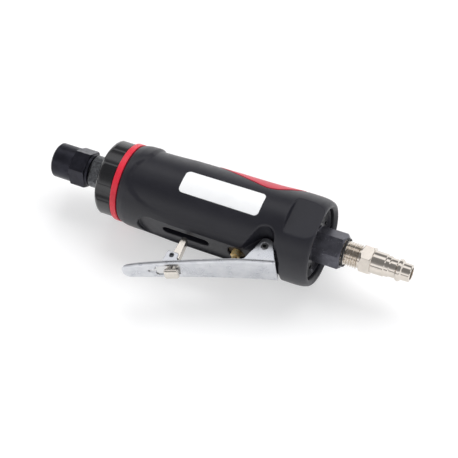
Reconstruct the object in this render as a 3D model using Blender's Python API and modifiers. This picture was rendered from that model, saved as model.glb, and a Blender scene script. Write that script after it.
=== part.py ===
"""Pneumatic die grinder, built in metres from millimetre dimensions.

+X runs along the spindle axis from the collet nut (front) towards the air
inlet (rear), the throttle lever points to -Y, and +Z is up with the tool
lying on its side. Dimensions along x are stations on the spindle axis, which
is y = z = 0. Angles around that axis are in degrees from the lever side (-Y)
towards +Z. The finished tool is moved so that the origin is the centre of its
overall box.
"""

import math

import bmesh
import bpy
from mathutils import Matrix, Vector

MM = 0.001

# ---------------------------------------------------------------- shared dimensions
NUT_FRONT = -1.5
PLUG_END = 206.5
SHANK_R = 3.0  # bore of the collet
CYLINDER_R = 15.1  # motor cylinder and both end plates
ROTOR_X = (57.2, 93.2)
ROTOR_END_GAP = 0.4
CYLINDER_X = (ROTOR_X[0] - ROTOR_END_GAP, ROTOR_X[1] + ROTOR_END_GAP)
PLATE_GAP = 0.3  # between the cylinder and each end plate
SLEEVE_R = 16.3
SLEEVE_BORE_R = 15.35
FEED_HOLE_R = 1.7
FEED_HOLE_RADIUS = 11.6  # distance of the feed holes from the axis
PIVOT = (132.2, -16.1)  # lever pivot, (x, y)
PIVOT_PIN_R = 1.8
LATCH_PIN = (88.2, -37.3)  # (x, y)
LATCH_PIN_R = 1.1
PIN_CLEARANCE = 0.06
VALVE_X = 117.0
VALVE_AT = (VALVE_X, 0, 0)
BOSS_R = 11.4  # central boss inside the rear of the housing

for old in list(bpy.data.objects):
    bpy.data.objects.remove(old, do_unlink=True)
PARTS = bpy.data.collections.new("pneumatic_die_grinder")
CUTTERS = bpy.data.collections.new("cutters")
for collection in (PARTS, CUTTERS):
    bpy.context.scene.collection.children.link(collection)
CUTTERS.hide_render = True

# turns a solid built along Z onto each axis
AXIS_TURN = {
    "X": Matrix.Rotation(math.radians(90), 4, "Y"),
    "Y": Matrix.Rotation(math.radians(-90), 4, "X"),
    "Z": Matrix.Identity(4),
}


# ---------------------------------------------------------------- outlines
def ring_point(x, radius, angle):
    """A point at this radius and this angle from the lever side (-Y) towards +Z."""
    turn = math.radians(angle)
    return (x, -radius * math.cos(turn), radius * math.sin(turn))


def hexagon(across_flats, corner):
    """(y, z) corners of a hexagon with one corner at the given angle."""
    radius = across_flats / 2 / math.cos(math.radians(30))
    return [ring_point(0, radius, corner + 60 * k)[1:] for k in range(6)]


def arc(centre_x, centre_y, radius, start, end, segments):
    points = []
    for i in range(segments + 1):
        turn = math.radians(start + (end - start) * i / segments)
        points.append((centre_x + radius * math.cos(turn), centre_y + radius * math.sin(turn)))
    return points


def offset(line, distance):
    """The line moved sideways, to its left as it runs."""
    out = []
    for i, (x, y) in enumerate(line):
        before_x, before_y = line[max(0, i - 1)]
        after_x, after_y = line[min(len(line) - 1, i + 1)]
        run_x, run_y = after_x - before_x, after_y - before_y
        length = math.hypot(run_x, run_y)
        out.append((x - run_y / length * distance, y + run_x / length * distance))
    return out


def shifted(points, by):
    return [(by[0] + x, by[1] + y) for x, y in points]


def mirrored(half):
    """A half outline closed by its reflection in the second coordinate."""
    return half + [(x, -z) for x, z in reversed(half)]


# ---------------------------------------------------------------- solids
def new_object(name, data):
    obj = bpy.data.objects.new(name, data)
    PARTS.objects.link(obj)
    return obj


def evaluated_mesh(obj):
    """A mesh of the object with its modifiers and its placing applied."""
    bpy.context.view_layer.update()
    graph = bpy.context.evaluated_depsgraph_get()
    mesh = bpy.data.meshes.new_from_object(obj.evaluated_get(graph))
    mesh.transform(obj.matrix_world)
    return mesh


def settle(obj):
    """Put the modifiers and the placing into the object's mesh, and clean it."""
    mesh = evaluated_mesh(obj)
    obj.modifiers.clear()
    obj.matrix_world = Matrix.Identity(4)
    obj.data = mesh
    work = bmesh.new()
    work.from_mesh(mesh)
    bmesh.ops.remove_doubles(work, verts=work.verts, dist=2e-6)
    bmesh.ops.dissolve_degenerate(work, edges=work.edges, dist=1e-6)
    bmesh.ops.recalc_face_normals(work, faces=work.faces)
    work.to_mesh(mesh)
    work.free()
    return obj


def revolve(name, profile, axis="X", at=(0, 0, 0), steps=32):
    """A turned solid from (along, radius) pairs, the outer side in rising order of 'along'."""
    mesh = bpy.data.meshes.new(name)
    points = [(radius * MM, 0.0, along * MM) for along, radius in reversed(profile)]
    edges = [(i, i + 1) for i in range(len(points) - 1)]
    ends_on_axis = profile[0][1] == 0 and profile[-1][1] == 0
    if not ends_on_axis:
        edges.append((len(points) - 1, 0))
    mesh.from_pydata(points, edges, [])
    obj = new_object(name, mesh)
    screw = obj.modifiers.new("Turn", "SCREW")
    screw.axis = "Z"
    screw.steps = screw.render_steps = steps
    screw.use_merge_vertices = True
    screw.merge_threshold = 1e-5
    obj.matrix_world = Matrix.Translation(Vector(at) * MM) @ AXIS_TURN[axis]
    return settle(obj)


def ring(name, inner_r, outer_r, start, end, axis="X", at=(0, 0, 0), steps=28, chamfer=0.0):
    profile = [(start, inner_r), (start, outer_r), (end, outer_r), (end, inner_r)]
    if chamfer:
        profile[1:3] = [
            (start, outer_r - chamfer), (start + chamfer, outer_r),
            (end - chamfer, outer_r), (end, outer_r - chamfer),
        ]
    return revolve(name, profile, axis, at, steps)


def rod(name, radius, start, end, axis="X", at=(0, 0, 0), steps=32, chamfer=0.0):
    return ring(name, 0, radius, start, end, axis, at, steps, chamfer)


def cross_rod(name, radius, centre, half_length, steps, chamfer=0.0):
    """A rod along Z through an (x, y) centre."""
    return rod(name, radius, -half_length, half_length, "Z", (*centre, 0), steps, chamfer)


def prism(name, outline, low, high, plane="XY"):
    """An outline pushed straight from low to high along the plane's normal."""
    normal = {"YZ": 0, "XZ": 1, "XY": 2}[plane]
    push = Vector((0, 0, 0))
    push[normal] = 1
    work = bmesh.new()
    corners = []
    for pair in outline:
        point = list(pair)
        point.insert(normal, low)
        corners.append(work.verts.new(Vector(point) * MM))
    face = work.faces.new(corners)
    out = bmesh.ops.extrude_face_region(work, geom=[face])
    moved = [v for v in out["geom"] if isinstance(v, bmesh.types.BMVert)]
    bmesh.ops.translate(work, verts=moved, vec=push * (high - low) * MM)
    return from_bmesh(name, work)


def from_bmesh(name, work):
    bmesh.ops.recalc_face_normals(work, faces=work.faces)
    mesh = bpy.data.meshes.new(name)
    work.to_mesh(mesh)
    work.free()
    return new_object(name, mesh)


def block(name, x, y, z, turn=0):
    """A box from three (low, high) ranges, turned about the spindle axis by some degrees."""
    outline = [(x[0], y[0]), (x[1], y[0]), (x[1], y[1]), (x[0], y[1])]
    obj = prism(name, outline, *z)
    obj.data.transform(Matrix.Rotation(math.radians(turn), 4, "X"))
    return obj


def wrap(name, outline, inner_r, outer_r):
    """A patch of a cylinder between two radii: a convex outline of (x, angle) pairs."""
    strip_angle = 6.0  # nominal width of each flat strip
    work = bmesh.new()
    work.faces.new([work.verts.new((x, angle, 0)) for x, angle in outline])
    low = min(angle for _, angle in outline)
    high = max(angle for _, angle in outline)
    strips = max(2, int((high - low) / strip_angle))
    for i in range(1, strips):
        bmesh.ops.bisect_plane(
            work, geom=list(work.verts) + list(work.edges) + list(work.faces),
            plane_co=(0, low + (high - low) * i / strips, 0), plane_no=(0, 1, 0), dist=1e-5)
    out = bmesh.ops.extrude_face_region(work, geom=list(work.faces))
    for item in out["geom"]:
        if isinstance(item, bmesh.types.BMVert):
            item.co.z = 1
    for v in work.verts:
        radius = outer_r if v.co.z > 0.5 else inner_r
        v.co = Vector(ring_point(v.co.x, radius, v.co.y)) * MM
    return from_bmesh(name, work)


def spring(name, at, axis, coil_r, wire_r, start, end, turns, per_turn, leg=None):
    """A coil whose wire is a bevelled curve along a helix, with an optional straight leg."""
    curve = bpy.data.curves.new(name, "CURVE")
    curve.dimensions = "3D"
    curve.bevel_depth = wire_r * MM
    curve.bevel_resolution = 1
    curve.use_fill_caps = True
    count = int(turns * per_turn)
    points = []
    for i in range(count + 1):
        share = i / count
        turn = 2 * math.pi * turns * share
        along = start + (end - start) * share
        points.append(Vector((coil_r * math.cos(turn), coil_r * math.sin(turn), along)))
    if leg:
        points.append(points[-1] + Vector(leg))
    line = curve.splines.new("POLY")
    line.points.add(len(points) - 1)
    for place, point in zip(points, line.points):
        point.co = (*(place * MM), 1.0)
    wire = new_object(name, curve)
    wire.matrix_world = Matrix.Translation(Vector(at) * MM) @ AXIS_TURN[axis]
    mesh = evaluated_mesh(wire)
    bpy.data.objects.remove(wire, do_unlink=True)
    return settle(new_object(name, mesh))


# ---------------------------------------------------------------- booleans and finish
def boolean(obj, tool, operation):
    step = obj.modifiers.new(operation.title(), "BOOLEAN")
    step.operation = operation
    step.solver = "EXACT"
    step.object = tool
    settle(obj)


def cut(obj, *tools):
    """Subtract the tools and store them, hidden, among the cutters."""
    for tool in tools:
        PARTS.objects.unlink(tool)
        CUTTERS.objects.link(tool)
        tool.hide_render = True
        tool.display_type = "WIRE"
        boolean(obj, tool, "DIFFERENCE")


def consume(obj, tool, operation):
    """Apply a boolean and delete its tool."""
    boolean(obj, tool, operation)
    bpy.data.objects.remove(tool, do_unlink=True)


def join(obj, *tools):
    for tool in tools:
        consume(obj, tool, "UNION")


def keep(obj, tool):
    consume(obj, tool, "INTERSECT")


def finish(obj, mat, angle=32, origin=None):
    """Give the material and smooth shading (sharp above the angle), and move the origin."""
    obj.data.materials.clear()
    obj.data.materials.append(mat)
    obj.data.shade_smooth()
    obj.data.set_sharp_from_angle(angle=math.radians(angle))
    if origin is not None:
        shift = Vector(origin) * MM
        obj.data.transform(Matrix.Translation(-shift))
        obj.matrix_world = Matrix.Translation(shift)


# ---------------------------------------------------------------- materials
def material(name, color, metallic, roughness, coat=0.0):
    mat = bpy.data.materials.get(name) or bpy.data.materials.new(name)
    mat.use_nodes = True
    shader = mat.node_tree.nodes["Principled BSDF"]
    shader.inputs["Base Color"].default_value = (*color, 1.0)
    shader.inputs["Metallic"].default_value = metallic
    shader.inputs["Roughness"].default_value = roughness
    shader.inputs["Coat Weight"].default_value = coat
    mat.diffuse_color = (*color, 1.0)
    return mat


GRIP_BLACK = material("grip_black", color=(0.03, 0.03, 0.034), metallic=0.0, roughness=0.55)
GLOSS_BLACK = material(
    "gloss_black", color=(0.012, 0.012, 0.014), metallic=0.0, roughness=0.2, coat=0.4)
RED = material("signal_red", color=(0.62, 0.02, 0.035), metallic=0.0, roughness=0.4)
OXIDE = material("black_oxide", color=(0.02, 0.02, 0.024), metallic=0.75, roughness=0.35)
STEEL = material("ground_steel", color=(0.5, 0.5, 0.5), metallic=1.0, roughness=0.3)
CHROME = material("satin_chrome", color=(0.75, 0.76, 0.78), metallic=1.0, roughness=0.22)
NICKEL = material("nickel", color=(0.72, 0.67, 0.6), metallic=1.0, roughness=0.15)
BRASS = material("brass", color=(0.75, 0.52, 0.2), metallic=1.0, roughness=0.25)
ALUMINIUM = material("aluminium", color=(0.65, 0.66, 0.68), metallic=1.0, roughness=0.4)
IRON = material("cast_iron", color=(0.2, 0.2, 0.2), metallic=0.9, roughness=0.5)
RUBBER = material("rubber", color=(0.02, 0.02, 0.02), metallic=0.0, roughness=0.7)
PHENOLIC = material("phenolic", color=(0.35, 0.2, 0.1), metallic=0.0, roughness=0.6)
FELT = material("felt", color=(0.5, 0.5, 0.47), metallic=0.0, roughness=0.95)
WHITE = material("label_white", color=(0.85, 0.86, 0.87), metallic=0.0, roughness=0.35)

# ---------------------------------------------------------------- collet end
# Profiles here and below are (along the axis, radius).
NUT_REAR = 21.0
NUT_R = 9.7
NUT_EDGE_R = 8.7
NUT_MOUTH_R = 4.6
NUT_BORE_R = 7.15
NUT_HEX_FROM = 10.6
NUT_HEX_R = 11.1  # turned radius under the hexagon's corners
NUT_AF = 19.1
NUT_HEX_CORNER = 45.0  # angle of one corner
NUT_PROFILE = (
    (NUT_FRONT, NUT_MOUTH_R), (NUT_FRONT, NUT_EDGE_R), (NUT_FRONT + 0.9, NUT_R),
    (NUT_HEX_FROM - 0.6, NUT_R + 0.05), (NUT_HEX_FROM + 0.6, NUT_HEX_R), (18.2, NUT_HEX_R),
    (NUT_REAR, NUT_EDGE_R), (NUT_REAR, NUT_BORE_R), (5.2, NUT_BORE_R), (3.3, 6.35),
    (0.5, NUT_MOUTH_R),
)
COLLET_PROFILE = (
    (-1.2, SHANK_R), (-1.2, 3.9), (-0.9, 4.2), (0.35, 4.2), (3.0, 5.75), (5.3, 5.75),
    (13.2, 4.15), (13.2, SHANK_R),
)
SLIT_HALF = 0.3


def collet_nut():
    nut = revolve("collet_nut", NUT_PROFILE, steps=36)
    keep(nut, prism("nut_hex", hexagon(NUT_AF, NUT_HEX_CORNER), -4, 24, "YZ"))
    finish(nut, OXIDE)


def collet():
    """A split collet; each slit plane runs right across it."""
    body = revolve("collet", COLLET_PROFILE)
    for k in range(2):
        cut(body, block("slit%d" % k, (-3, 10), (-8, 8), (-SLIT_HALF, SLIT_HALF), 45 + 90 * k))
    finish(body, STEEL)


# ---------------------------------------------------------------- rotor
SPINDLE_FLANGE_R = 9.0
SPINDLE_AF = 13.6
SPINDLE_FLAT_DIR = 55.0
THREAD_R = 6.85
ROTOR_R = 11.6
FRONT_JOURNAL_R = 5.0
REAR_JOURNAL_R = 3.95
ROTOR_PROFILE = (
    (5.6, 0), (5.6, 6.3), (6.2, THREAD_R), (21.6, THREAD_R), (21.6, 8.7),
    (21.9, SPINDLE_FLANGE_R), (33.4, SPINDLE_FLANGE_R), (33.4, 6.4), (45.0, 6.4),
    (45.0, FRONT_JOURNAL_R), (ROTOR_X[0], FRONT_JOURNAL_R), (ROTOR_X[0], ROTOR_R),
    (ROTOR_X[1], ROTOR_R), (ROTOR_X[1], REAR_JOURNAL_R), (100.8, REAR_JOURNAL_R), (100.8, 0),
)
NOSE_BORE_PROFILE = (
    (5.0, 0), (5.0, 6.08), (5.6, 6.05), (14.0, 4.4), (14.0, 3.2), (26.0, 3.2), (27.5, 0),
)
VANE_TURNS = [360 / 5 * k + 15 for k in range(5)]
VANE_HALF = 0.6  # half the vane's thickness
VANE_SIDE_GAP = 0.12
VANE_END_GAP = 0.2
SLOT_DEPTH = 5.4


def rotor_spindle():
    rotor = revolve("rotor_spindle", ROTOR_PROFILE)
    cut(rotor, revolve("nose_bore", NOSE_BORE_PROFILE))
    for side in (0, 180):
        cut(rotor, block("flat%d" % side, (21.0, 34.0), (-12, -SPINDLE_AF / 2), (-12, 12),
                         turn=-(SPINDLE_FLAT_DIR + side)))
    half = VANE_HALF + VANE_SIDE_GAP
    for k, turn in enumerate(VANE_TURNS):
        cut(rotor, block("slot%d" % k, (ROTOR_X[0] - 1, ROTOR_X[1] + 1),
                         (-14, -ROTOR_R + SLOT_DEPTH), (-half, half), turn))
    finish(rotor, STEEL)


def vanes():
    for k, turn in enumerate(VANE_TURNS):
        vane = block("vane_%d" % (k + 1), (ROTOR_X[0] + VANE_END_GAP, ROTOR_X[1] - VANE_END_GAP),
                     (-ROTOR_R - 0.1, -ROTOR_R + SLOT_DEPTH - 0.5), (-VANE_HALF, VANE_HALF), turn)
        finish(vane, PHENOLIC)


# ---------------------------------------------------------------- motor cylinder and plates
BORE_R = 13.2
BORE_SHIFT = 1.3  # the bore is off centre towards +Y
DOWEL_AT = ring_point(0, 14.2, 0)
DOWEL_R = 0.6
DOWEL_HOLE_R = 0.85
DOWEL_X = (55.0, 95.6)
DOWEL_END_GAP = 0.4
FRONT_PLATE_X = (45.8, CYLINDER_X[0] - PLATE_GAP)
FRONT_PLATE_PROFILE = (
    (FRONT_PLATE_X[0], 11.2), (FRONT_PLATE_X[0], CYLINDER_R), (FRONT_PLATE_X[1], CYLINDER_R),
    (FRONT_PLATE_X[1], 5.5), (53.2, 5.5), (53.2, 11.2),
)
REAR_PLATE_X = (CYLINDER_X[1] + PLATE_GAP, 101.2)
REAR_PLATE_PROFILE = (
    (REAR_PLATE_X[0], 4.5), (REAR_PLATE_X[0], CYLINDER_R), (REAR_PLATE_X[1], CYLINDER_R),
    (REAR_PLATE_X[1], 8.35), (96.2, 8.35), (96.2, 4.5),
)


def dowel_hole(name, start, end):
    return rod(name, DOWEL_HOLE_R, start, end, at=DOWEL_AT, steps=12)


def feed_hole(name, start, end):
    return rod(name, FEED_HOLE_R, start, end, at=ring_point(0, FEED_HOLE_RADIUS, 0), steps=12)


def motor_cylinder():
    cylinder = ring("motor_cylinder", 6, CYLINDER_R, *CYLINDER_X, steps=36)
    cut(cylinder, rod("cyl_bore", BORE_R, 50, 100, at=(0, BORE_SHIFT, 0), steps=36))
    for k, x in enumerate((66, 75, 84)):
        cut(cylinder, rod("exhaust_port%d" % k, 1.6, 10, 20, axis="Y", at=(x, 0, 0), steps=12))
    cut(cylinder, dowel_hole("dowel_hole", 50, 100))
    finish(cylinder, IRON)


def cylinder_dowel():
    finish(rod("cylinder_dowel", DOWEL_R, *DOWEL_X, at=DOWEL_AT, steps=12), STEEL)


def end_plates():
    front = revolve("front_end_plate", FRONT_PLATE_PROFILE, steps=30)
    cut(front, dowel_hole("dowel_hole_f", DOWEL_X[0] - DOWEL_END_GAP, 58))
    finish(front, IRON)
    rear = revolve("rear_end_plate", REAR_PLATE_PROFILE, steps=30)
    cut(rear, dowel_hole("dowel_hole_r", 92, DOWEL_X[1] + DOWEL_END_GAP),
        feed_hole("feed_port", 90, 104))
    finish(rear, IRON)


# ---------------------------------------------------------------- bearings and sleeve
WASHER_PROFILE = ((101.5, 9.0), (102.6, 14.6), (103.3, 14.6), (102.2, 9.0))
SLEEVE_PROFILE = (
    (34.4, SLEEVE_BORE_R), (34.4, 19.0), (34.8, 19.2), (45.9, 19.2), (45.9, SLEEVE_R),
    (103.6, SLEEVE_R), (103.6, SLEEVE_BORE_R),
)


def bearing(prefix, start, end, inner_ring, outer_ring, balls, ball_r):
    """A ball bearing; each ring is an (inner, outer) radius pair. Balls and cage are one solid."""
    outer = ring(prefix + "_outer_ring", *outer_ring, start, end, chamfer=0.25)
    inner = ring(prefix + "_inner_ring", *inner_ring, start, end, steps=32)
    finish(outer, STEEL)
    finish(inner, STEEL)
    middle = (start + end) / 2
    pitch_r = (inner_ring[1] + outer_ring[0]) / 2
    half_depth = ball_r * 0.55
    half_width = ball_r * 0.7
    cage = ring(prefix + "_balls", pitch_r - half_depth, pitch_r + half_depth,
                middle - half_width, middle + half_width, steps=16)
    for k in range(balls):
        mesh = bpy.data.meshes.new(prefix + "_ball")
        work = bmesh.new()
        bmesh.ops.create_icosphere(work, subdivisions=1, radius=ball_r * MM)
        place = Vector(ring_point(middle, pitch_r, 360 / balls * k)) * MM
        bmesh.ops.translate(work, verts=work.verts, vec=place)
        work.to_mesh(mesh)
        work.free()
        join(cage, new_object(prefix + "_ball", mesh))
    finish(cage, STEEL)


def bearings():
    bearing("front_bearing", 46.2, 52.8, inner_ring=(5.15, 6.85), outer_ring=(9.2, 10.95),
            balls=8, ball_r=1.08)
    bearing("rear_bearing", 96.7, 100.7, inner_ring=(4.1, 5.1), outer_ring=(6.8, 8.1),
            balls=7, ball_r=0.75)


def clamp_seal_and_washer():
    finish(ring("bearing_clamp_ring", 11.6, 15.0, 36.4, 45.5), ALUMINIUM)
    finish(ring("dust_seal", 6.8, 15.0, 34.0, 36.1, chamfer=0.3), FELT)
    finish(revolve("preload_washer", WASHER_PROFILE), STEEL)


def motor_sleeve():
    sleeve = revolve("motor_sleeve", SLEEVE_PROFILE, steps=36)
    cut(sleeve, rod("sleeve_exhaust", 2.2, 10, 20, axis="Y", at=(75, 0, 0), steps=12))
    finish(sleeve, ALUMINIUM)


# ---------------------------------------------------------------- front cap and red ring
CAP_R = 21.3
CAP_FRONT = 31.8
CAP_REAR = 42.3
CAP_BORE_R = 19.5
CAP_MOUTH_R = 9.5
CAP_PROFILE = (
    (CAP_FRONT + 0.4, CAP_MOUTH_R), (CAP_FRONT, 10.1), (CAP_FRONT, 18.4),
    (CAP_FRONT + 0.6, 19.8), (CAP_FRONT + 1.6, 20.8), (CAP_FRONT + 2.8, CAP_R),
    (CAP_REAR - 0.3, CAP_R), (CAP_REAR, CAP_R - 0.3), (CAP_REAR, CAP_BORE_R),
    (33.9, CAP_BORE_R), (33.9, CAP_MOUTH_R),
)
CAP_FLUTES = 6
CAP_FLUTE_DIR = 32.0
FLUTE_R = 20.0
FLUTE_DEPTH = 1.2
RED_RING_X = (42.6, 46.0)
RED_RING_R = 21.9


def front_cap():
    cap = revolve("front_cap", CAP_PROFILE, steps=48)
    for k in range(CAP_FLUTES):
        centre = ring_point(0, CAP_R + FLUTE_R - FLUTE_DEPTH, CAP_FLUTE_DIR + 360 / CAP_FLUTES * k)
        cut(cap, rod("flute%d" % k, FLUTE_R, 26, 46, at=centre, steps=72))
    finish(cap, GLOSS_BLACK, 40)


def red_ring():
    finish(ring("red_ring", CAP_BORE_R, RED_RING_R, *RED_RING_X, steps=48, chamfer=0.35), RED)


# ---------------------------------------------------------------- grip housing
GRIP_PROFILE = (
    (46.3, 21.4), (47.3, 21.9), (50.4, 22.55), (54.5, 22.7), (60.0, 22.75),
    (68.0, 22.9), (78.0, 23.3), (128.0, 23.3), (136.0, 23.7), (143.0, 24.2),
    (150.0, 24.2), (154.0, 23.8), (156.4, 23.1), (157.6, 22.2),
)
REAR_CAVITY_PROFILE = (
    (140.5, BOSS_R), (140.5, 19.5), (156.4, 19.5), (158.5, 20.6), (158.5, BOSS_R),
)
VALVE_BORE_PROFILE = (  # (y, radius)
    (-26, 0), (-26, 5.25), (-8.0, 5.25), (-8.0, 4.7), (9.6, 4.7), (9.6, 0),
)
FLOOR_Y = -20.6  # flat floor of the recess under the lever
FLOOR_HALF = 8.3
RECESS_FRONT = 59.4
RECESS_REAR = 142.6
LUG_HALF = 8.1  # half width of the lug between the two ear pockets
LATCH_SLOT_X = (76.3, 98.3)  # centres of the slot's round ends
LATCH_SLOT_R = 2.7
OUTSIDE = -30  # y beyond the housing on the lever side
EXHAUST_ANGLES = (90, 132, 180, 228, 270)


def cut_cavities(grip):
    cut(grip, rod("motor_chamber", SLEEVE_R + 0.25, 40, 103.9, steps=48),
        revolve("rear_cavity", REAR_CAVITY_PROFILE, steps=48),
        rod("boss_end", 14, 151.2, 160))


def cut_lever_recess(grip):
    """The round-ended recess, the latch slot in its floor and a pocket for each lever ear."""
    floor = [(RECESS_REAR, -FLOOR_HALF), (RECESS_REAR, FLOOR_HALF)]
    floor += arc(RECESS_FRONT + FLOOR_HALF, 0, FLOOR_HALF, 90, 270, 12)
    cut(grip, prism("lever_recess", floor, OUTSIDE, FLOOR_Y, "XZ"))
    slot = arc(LATCH_SLOT_X[1], 0, LATCH_SLOT_R, -90, 90, 4)
    slot += arc(LATCH_SLOT_X[0], 0, LATCH_SLOT_R, 90, 270, 4)
    cut(grip, prism("latch_slot", slot, OUTSIDE, -17.1, "XZ"))
    pocket = [(RECESS_REAR, OUTSIDE), (RECESS_REAR, -23.0), (139.4, -17.4)]
    pocket += arc(*PIVOT, 5.7, -6, 146, 10) + [(120.6, -22.4), (120.6, OUTSIDE)]
    cut(grip, prism("ear_pocket1", pocket, LUG_HALF, 27),
        prism("ear_pocket0", pocket, -27, -LUG_HALF))


def cut_bores(grip):
    cut(grip, cross_rod("pivot_bore", PIVOT_PIN_R + 0.05, PIVOT, 12, steps=24),
        revolve("valve_bore", VALVE_BORE_PROFILE, axis="Y", at=VALVE_AT, steps=28),
        rod("air_passage", 3.6, 118, 160, steps=24),
        rod("inlet_thread", 8.15, 142.2, 160),
        feed_hole("feed_passage", 100, 116))
    for k, angle in enumerate(EXHAUST_ANGLES):
        cut(grip, rod("exhaust_passage%d" % k, 1.7, 100, 146, at=ring_point(0, 14.0, angle),
                      steps=12))


LABEL_X = (79.6, 125.4)
LABEL_ANGLES = (70.6, 105.0)


def label_outline(grow_x, grow_angle, corner_x, corner_angle):
    """The label's rounded outline in (x, angle), grown on every side."""
    x0, x1 = LABEL_X[0] - grow_x, LABEL_X[1] + grow_x
    low, high = LABEL_ANGLES[0] - grow_angle, LABEL_ANGLES[1] + grow_angle
    corners = (
        (x1 - corner_x, high - corner_angle, 0), (x0 + corner_x, high - corner_angle, 90),
        (x0 + corner_x, low + corner_angle, 180), (x1 - corner_x, low + corner_angle, 270),
    )
    points = []
    for x, angle, start in corners:
        for i in range(5):
            turn = math.radians(start + 22.5 * i)
            points.append((x + corner_x * math.cos(turn), angle + corner_angle * math.sin(turn)))
    return points


INLAY = (  # (x, half angle), centred on the +Y side
    (86, 0), (87.5, 14), (90, 25), (94, 34.5), (100, 42), (110, 51), (118, 57.2), (122, 59.5),
    (124.5, 59.5), (128, 56.5), (132, 51), (136, 43), (139, 33), (141, 19), (142, 0),
)
INLAY_CENTRE_X = (INLAY[0][0] + INLAY[-1][0]) / 2
INLAY_HALF_LENGTH = (INLAY[-1][0] - INLAY[0][0]) / 2
INLAY_ANGLE_SCALE = 24.0  # millimetres of growth that would double the angles


def inlay_outline(grow):
    """The inlay's outline in (x, angle), widest towards the rear, grown by some millimetres."""
    half = []
    for x, angle in INLAY:
        along = (x - INLAY_CENTRE_X) * (INLAY_HALF_LENGTH + grow) / INLAY_HALF_LENGTH
        half.append((along + INLAY_CENTRE_X, angle * (1 + grow / INLAY_ANGLE_SCALE)))
    lower = [(x, 180.0 - angle) for x, angle in reversed(half[1:-1])]
    return [(x, 180.0 + angle) for x, angle in half] + lower


def grip_housing():
    profile = [(GRIP_PROFILE[0][0], 0), *GRIP_PROFILE, (GRIP_PROFILE[-1][0], 0)]
    grip = revolve("grip_housing", profile, steps=52)
    cut_cavities(grip)
    cut_lever_recess(grip)
    cut_bores(grip)
    label_pocket = label_outline(grow_x=0.25, grow_angle=0.6, corner_x=2.6, corner_angle=6.2)
    cut(grip, wrap("label_pocket", label_pocket, 22.95, 25),
        wrap("inlay_pocket", inlay_outline(0.8), 22.3, 26))
    finish(grip, GRIP_BLACK, 30)


def label_plate():
    outline = label_outline(grow_x=0, grow_angle=0, corner_x=2.4, corner_angle=5.8)
    finish(wrap("label_plate", outline, 23.05, 23.4), WHITE)


def red_inlay():
    finish(wrap("red_inlay", inlay_outline(0.0), 22.4, 23.55), RED)


# ---------------------------------------------------------------- throttle lever
SHEET = 1.2  # sheet thickness
FLANGE = 1.75  # depth of the side flange from the outer face
WEB = [  # (x, y) along the lever's outer face, from its tip
    (65.4, -52.3), (68.6, -51.0), (74, -48.6), (87, -43.0), (102, -37.1),
    (112, -33.2), (121, -29.9), (127, -27.9), (134, -25.8), (141.2, -23.7),
]
LATCH_EAR = (  # (x, y) from the latch pin
    (4.4, -1.7), (3.3, -0.6), (3.2, 1.2), (2.2, 2.3), (-2.2, 2.3), (-3.2, 1.2), (-3.3, -4.7),
)
EAR_HALF = 9.6  # half width over the pivot ears
HALF_WIDTHS = (  # (x, half width)
    (64.6, 2.4), (65.2, 3.9), (66.2, 5.1), (67.8, 5.9), (70.5, 6.5), (76, 7.1),
    (87, 7.7), (102, 8.5), (116, 9.3), (121, EAR_HALF), (145, EAR_HALF),
)


def half_plan(trim=0.0, shift=0.0):
    return [(x + shift, half - trim) for x, half in HALF_WIDTHS]


def lever_side():
    """The lever's (x, y) outline: outer face, pivot ear, flange, latch ear and tip."""
    outline = WEB + arc(*PIVOT, 4.7, 8, 125, 7) + [(125.0, -26.4), (124.0, -27.2)]
    outline += offset(WEB, FLANGE)[6:4:-1] + shifted([(-0.6, 1.65)], WEB[4])
    outline += shifted(LATCH_EAR, LATCH_PIN)
    outline += shifted([(-0.65, 1.6)], WEB[2]) + shifted([(-0.6, 1.6)], WEB[1])
    return outline + [(65.4, -50.6), (64.7, -51.3)]


def lever_inside():
    """The solid that hollows the lever to sheet thickness and leaves its rear open."""
    inner = offset(WEB, SHEET)
    side = [(58.0, inner[0][1] - 2.5)] + inner[1:-1]
    side += [(147, inner[-1][1] + 1.7), (147, 0), (58.0, 0)]
    inside = prism("lever_inside", side, -12, 12)
    plan = mirrored(half_plan(SHEET, 1.0) + [(149, EAR_HALF - SHEET)])
    keep(inside, prism("lever_inside_plan", plan, -72, 2, "XZ"))
    return inside


def throttle_lever():
    lever = prism("throttle_lever", lever_side(), -12, 12)
    keep(lever, prism("lever_plan", mirrored(half_plan()), -70, 0, "XZ"))
    consume(lever, lever_inside(), "DIFFERENCE")
    # (x, z) keyhole whose round end points towards the tip
    opening = [(93.4, -3.8), (93.4, 3.8), (92.8, 4.4), (82.4, 4.4), (81.4, 3.4), (81.4, 1.4)]
    opening += arc(79.0, 0, 1.4, 90, 270, 4)
    opening += [(81.4, -1.4), (81.4, -3.4), (82.4, -4.4), (92.8, -4.4)]
    cut(lever, prism("latch_opening", opening, -60, -38.9, "XZ"),
        cross_rod("lever_bore", PIVOT_PIN_R + PIN_CLEARANCE, PIVOT, 12, steps=24),
        cross_rod("latch_bore", LATCH_PIN_R + PIN_CLEARANCE, LATCH_PIN, 12, steps=20))
    finish(lever, CHROME, origin=(*PIVOT, 0))


def lever_pin():
    pin = ring("lever_pin", 1.0, PIVOT_PIN_R, -9.7, 9.7, axis="Z", at=(*PIVOT, 0), steps=24,
               chamfer=0.2)
    finish(pin, STEEL)


# ---------------------------------------------------------------- lock-off latch
LATCH_X, LATCH_Y = LATCH_PIN
LATCH_AT = (*LATCH_PIN, 0)
# (x, y) from the latch pin
LATCH_ARM = (
    (-2.3, -1.2), (2.2, -1.4), (2.4, 1.6), (1.5, 14.0), (0.9, 15.1), (-0.9, 15.1),
    (-1.7, 14.1), (-2.4, 1.6),
)
LATCH_NECK = ((-1.5, -7.6), (1.4, -7.6), (1.6, -1), (-1.6, -1))
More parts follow.
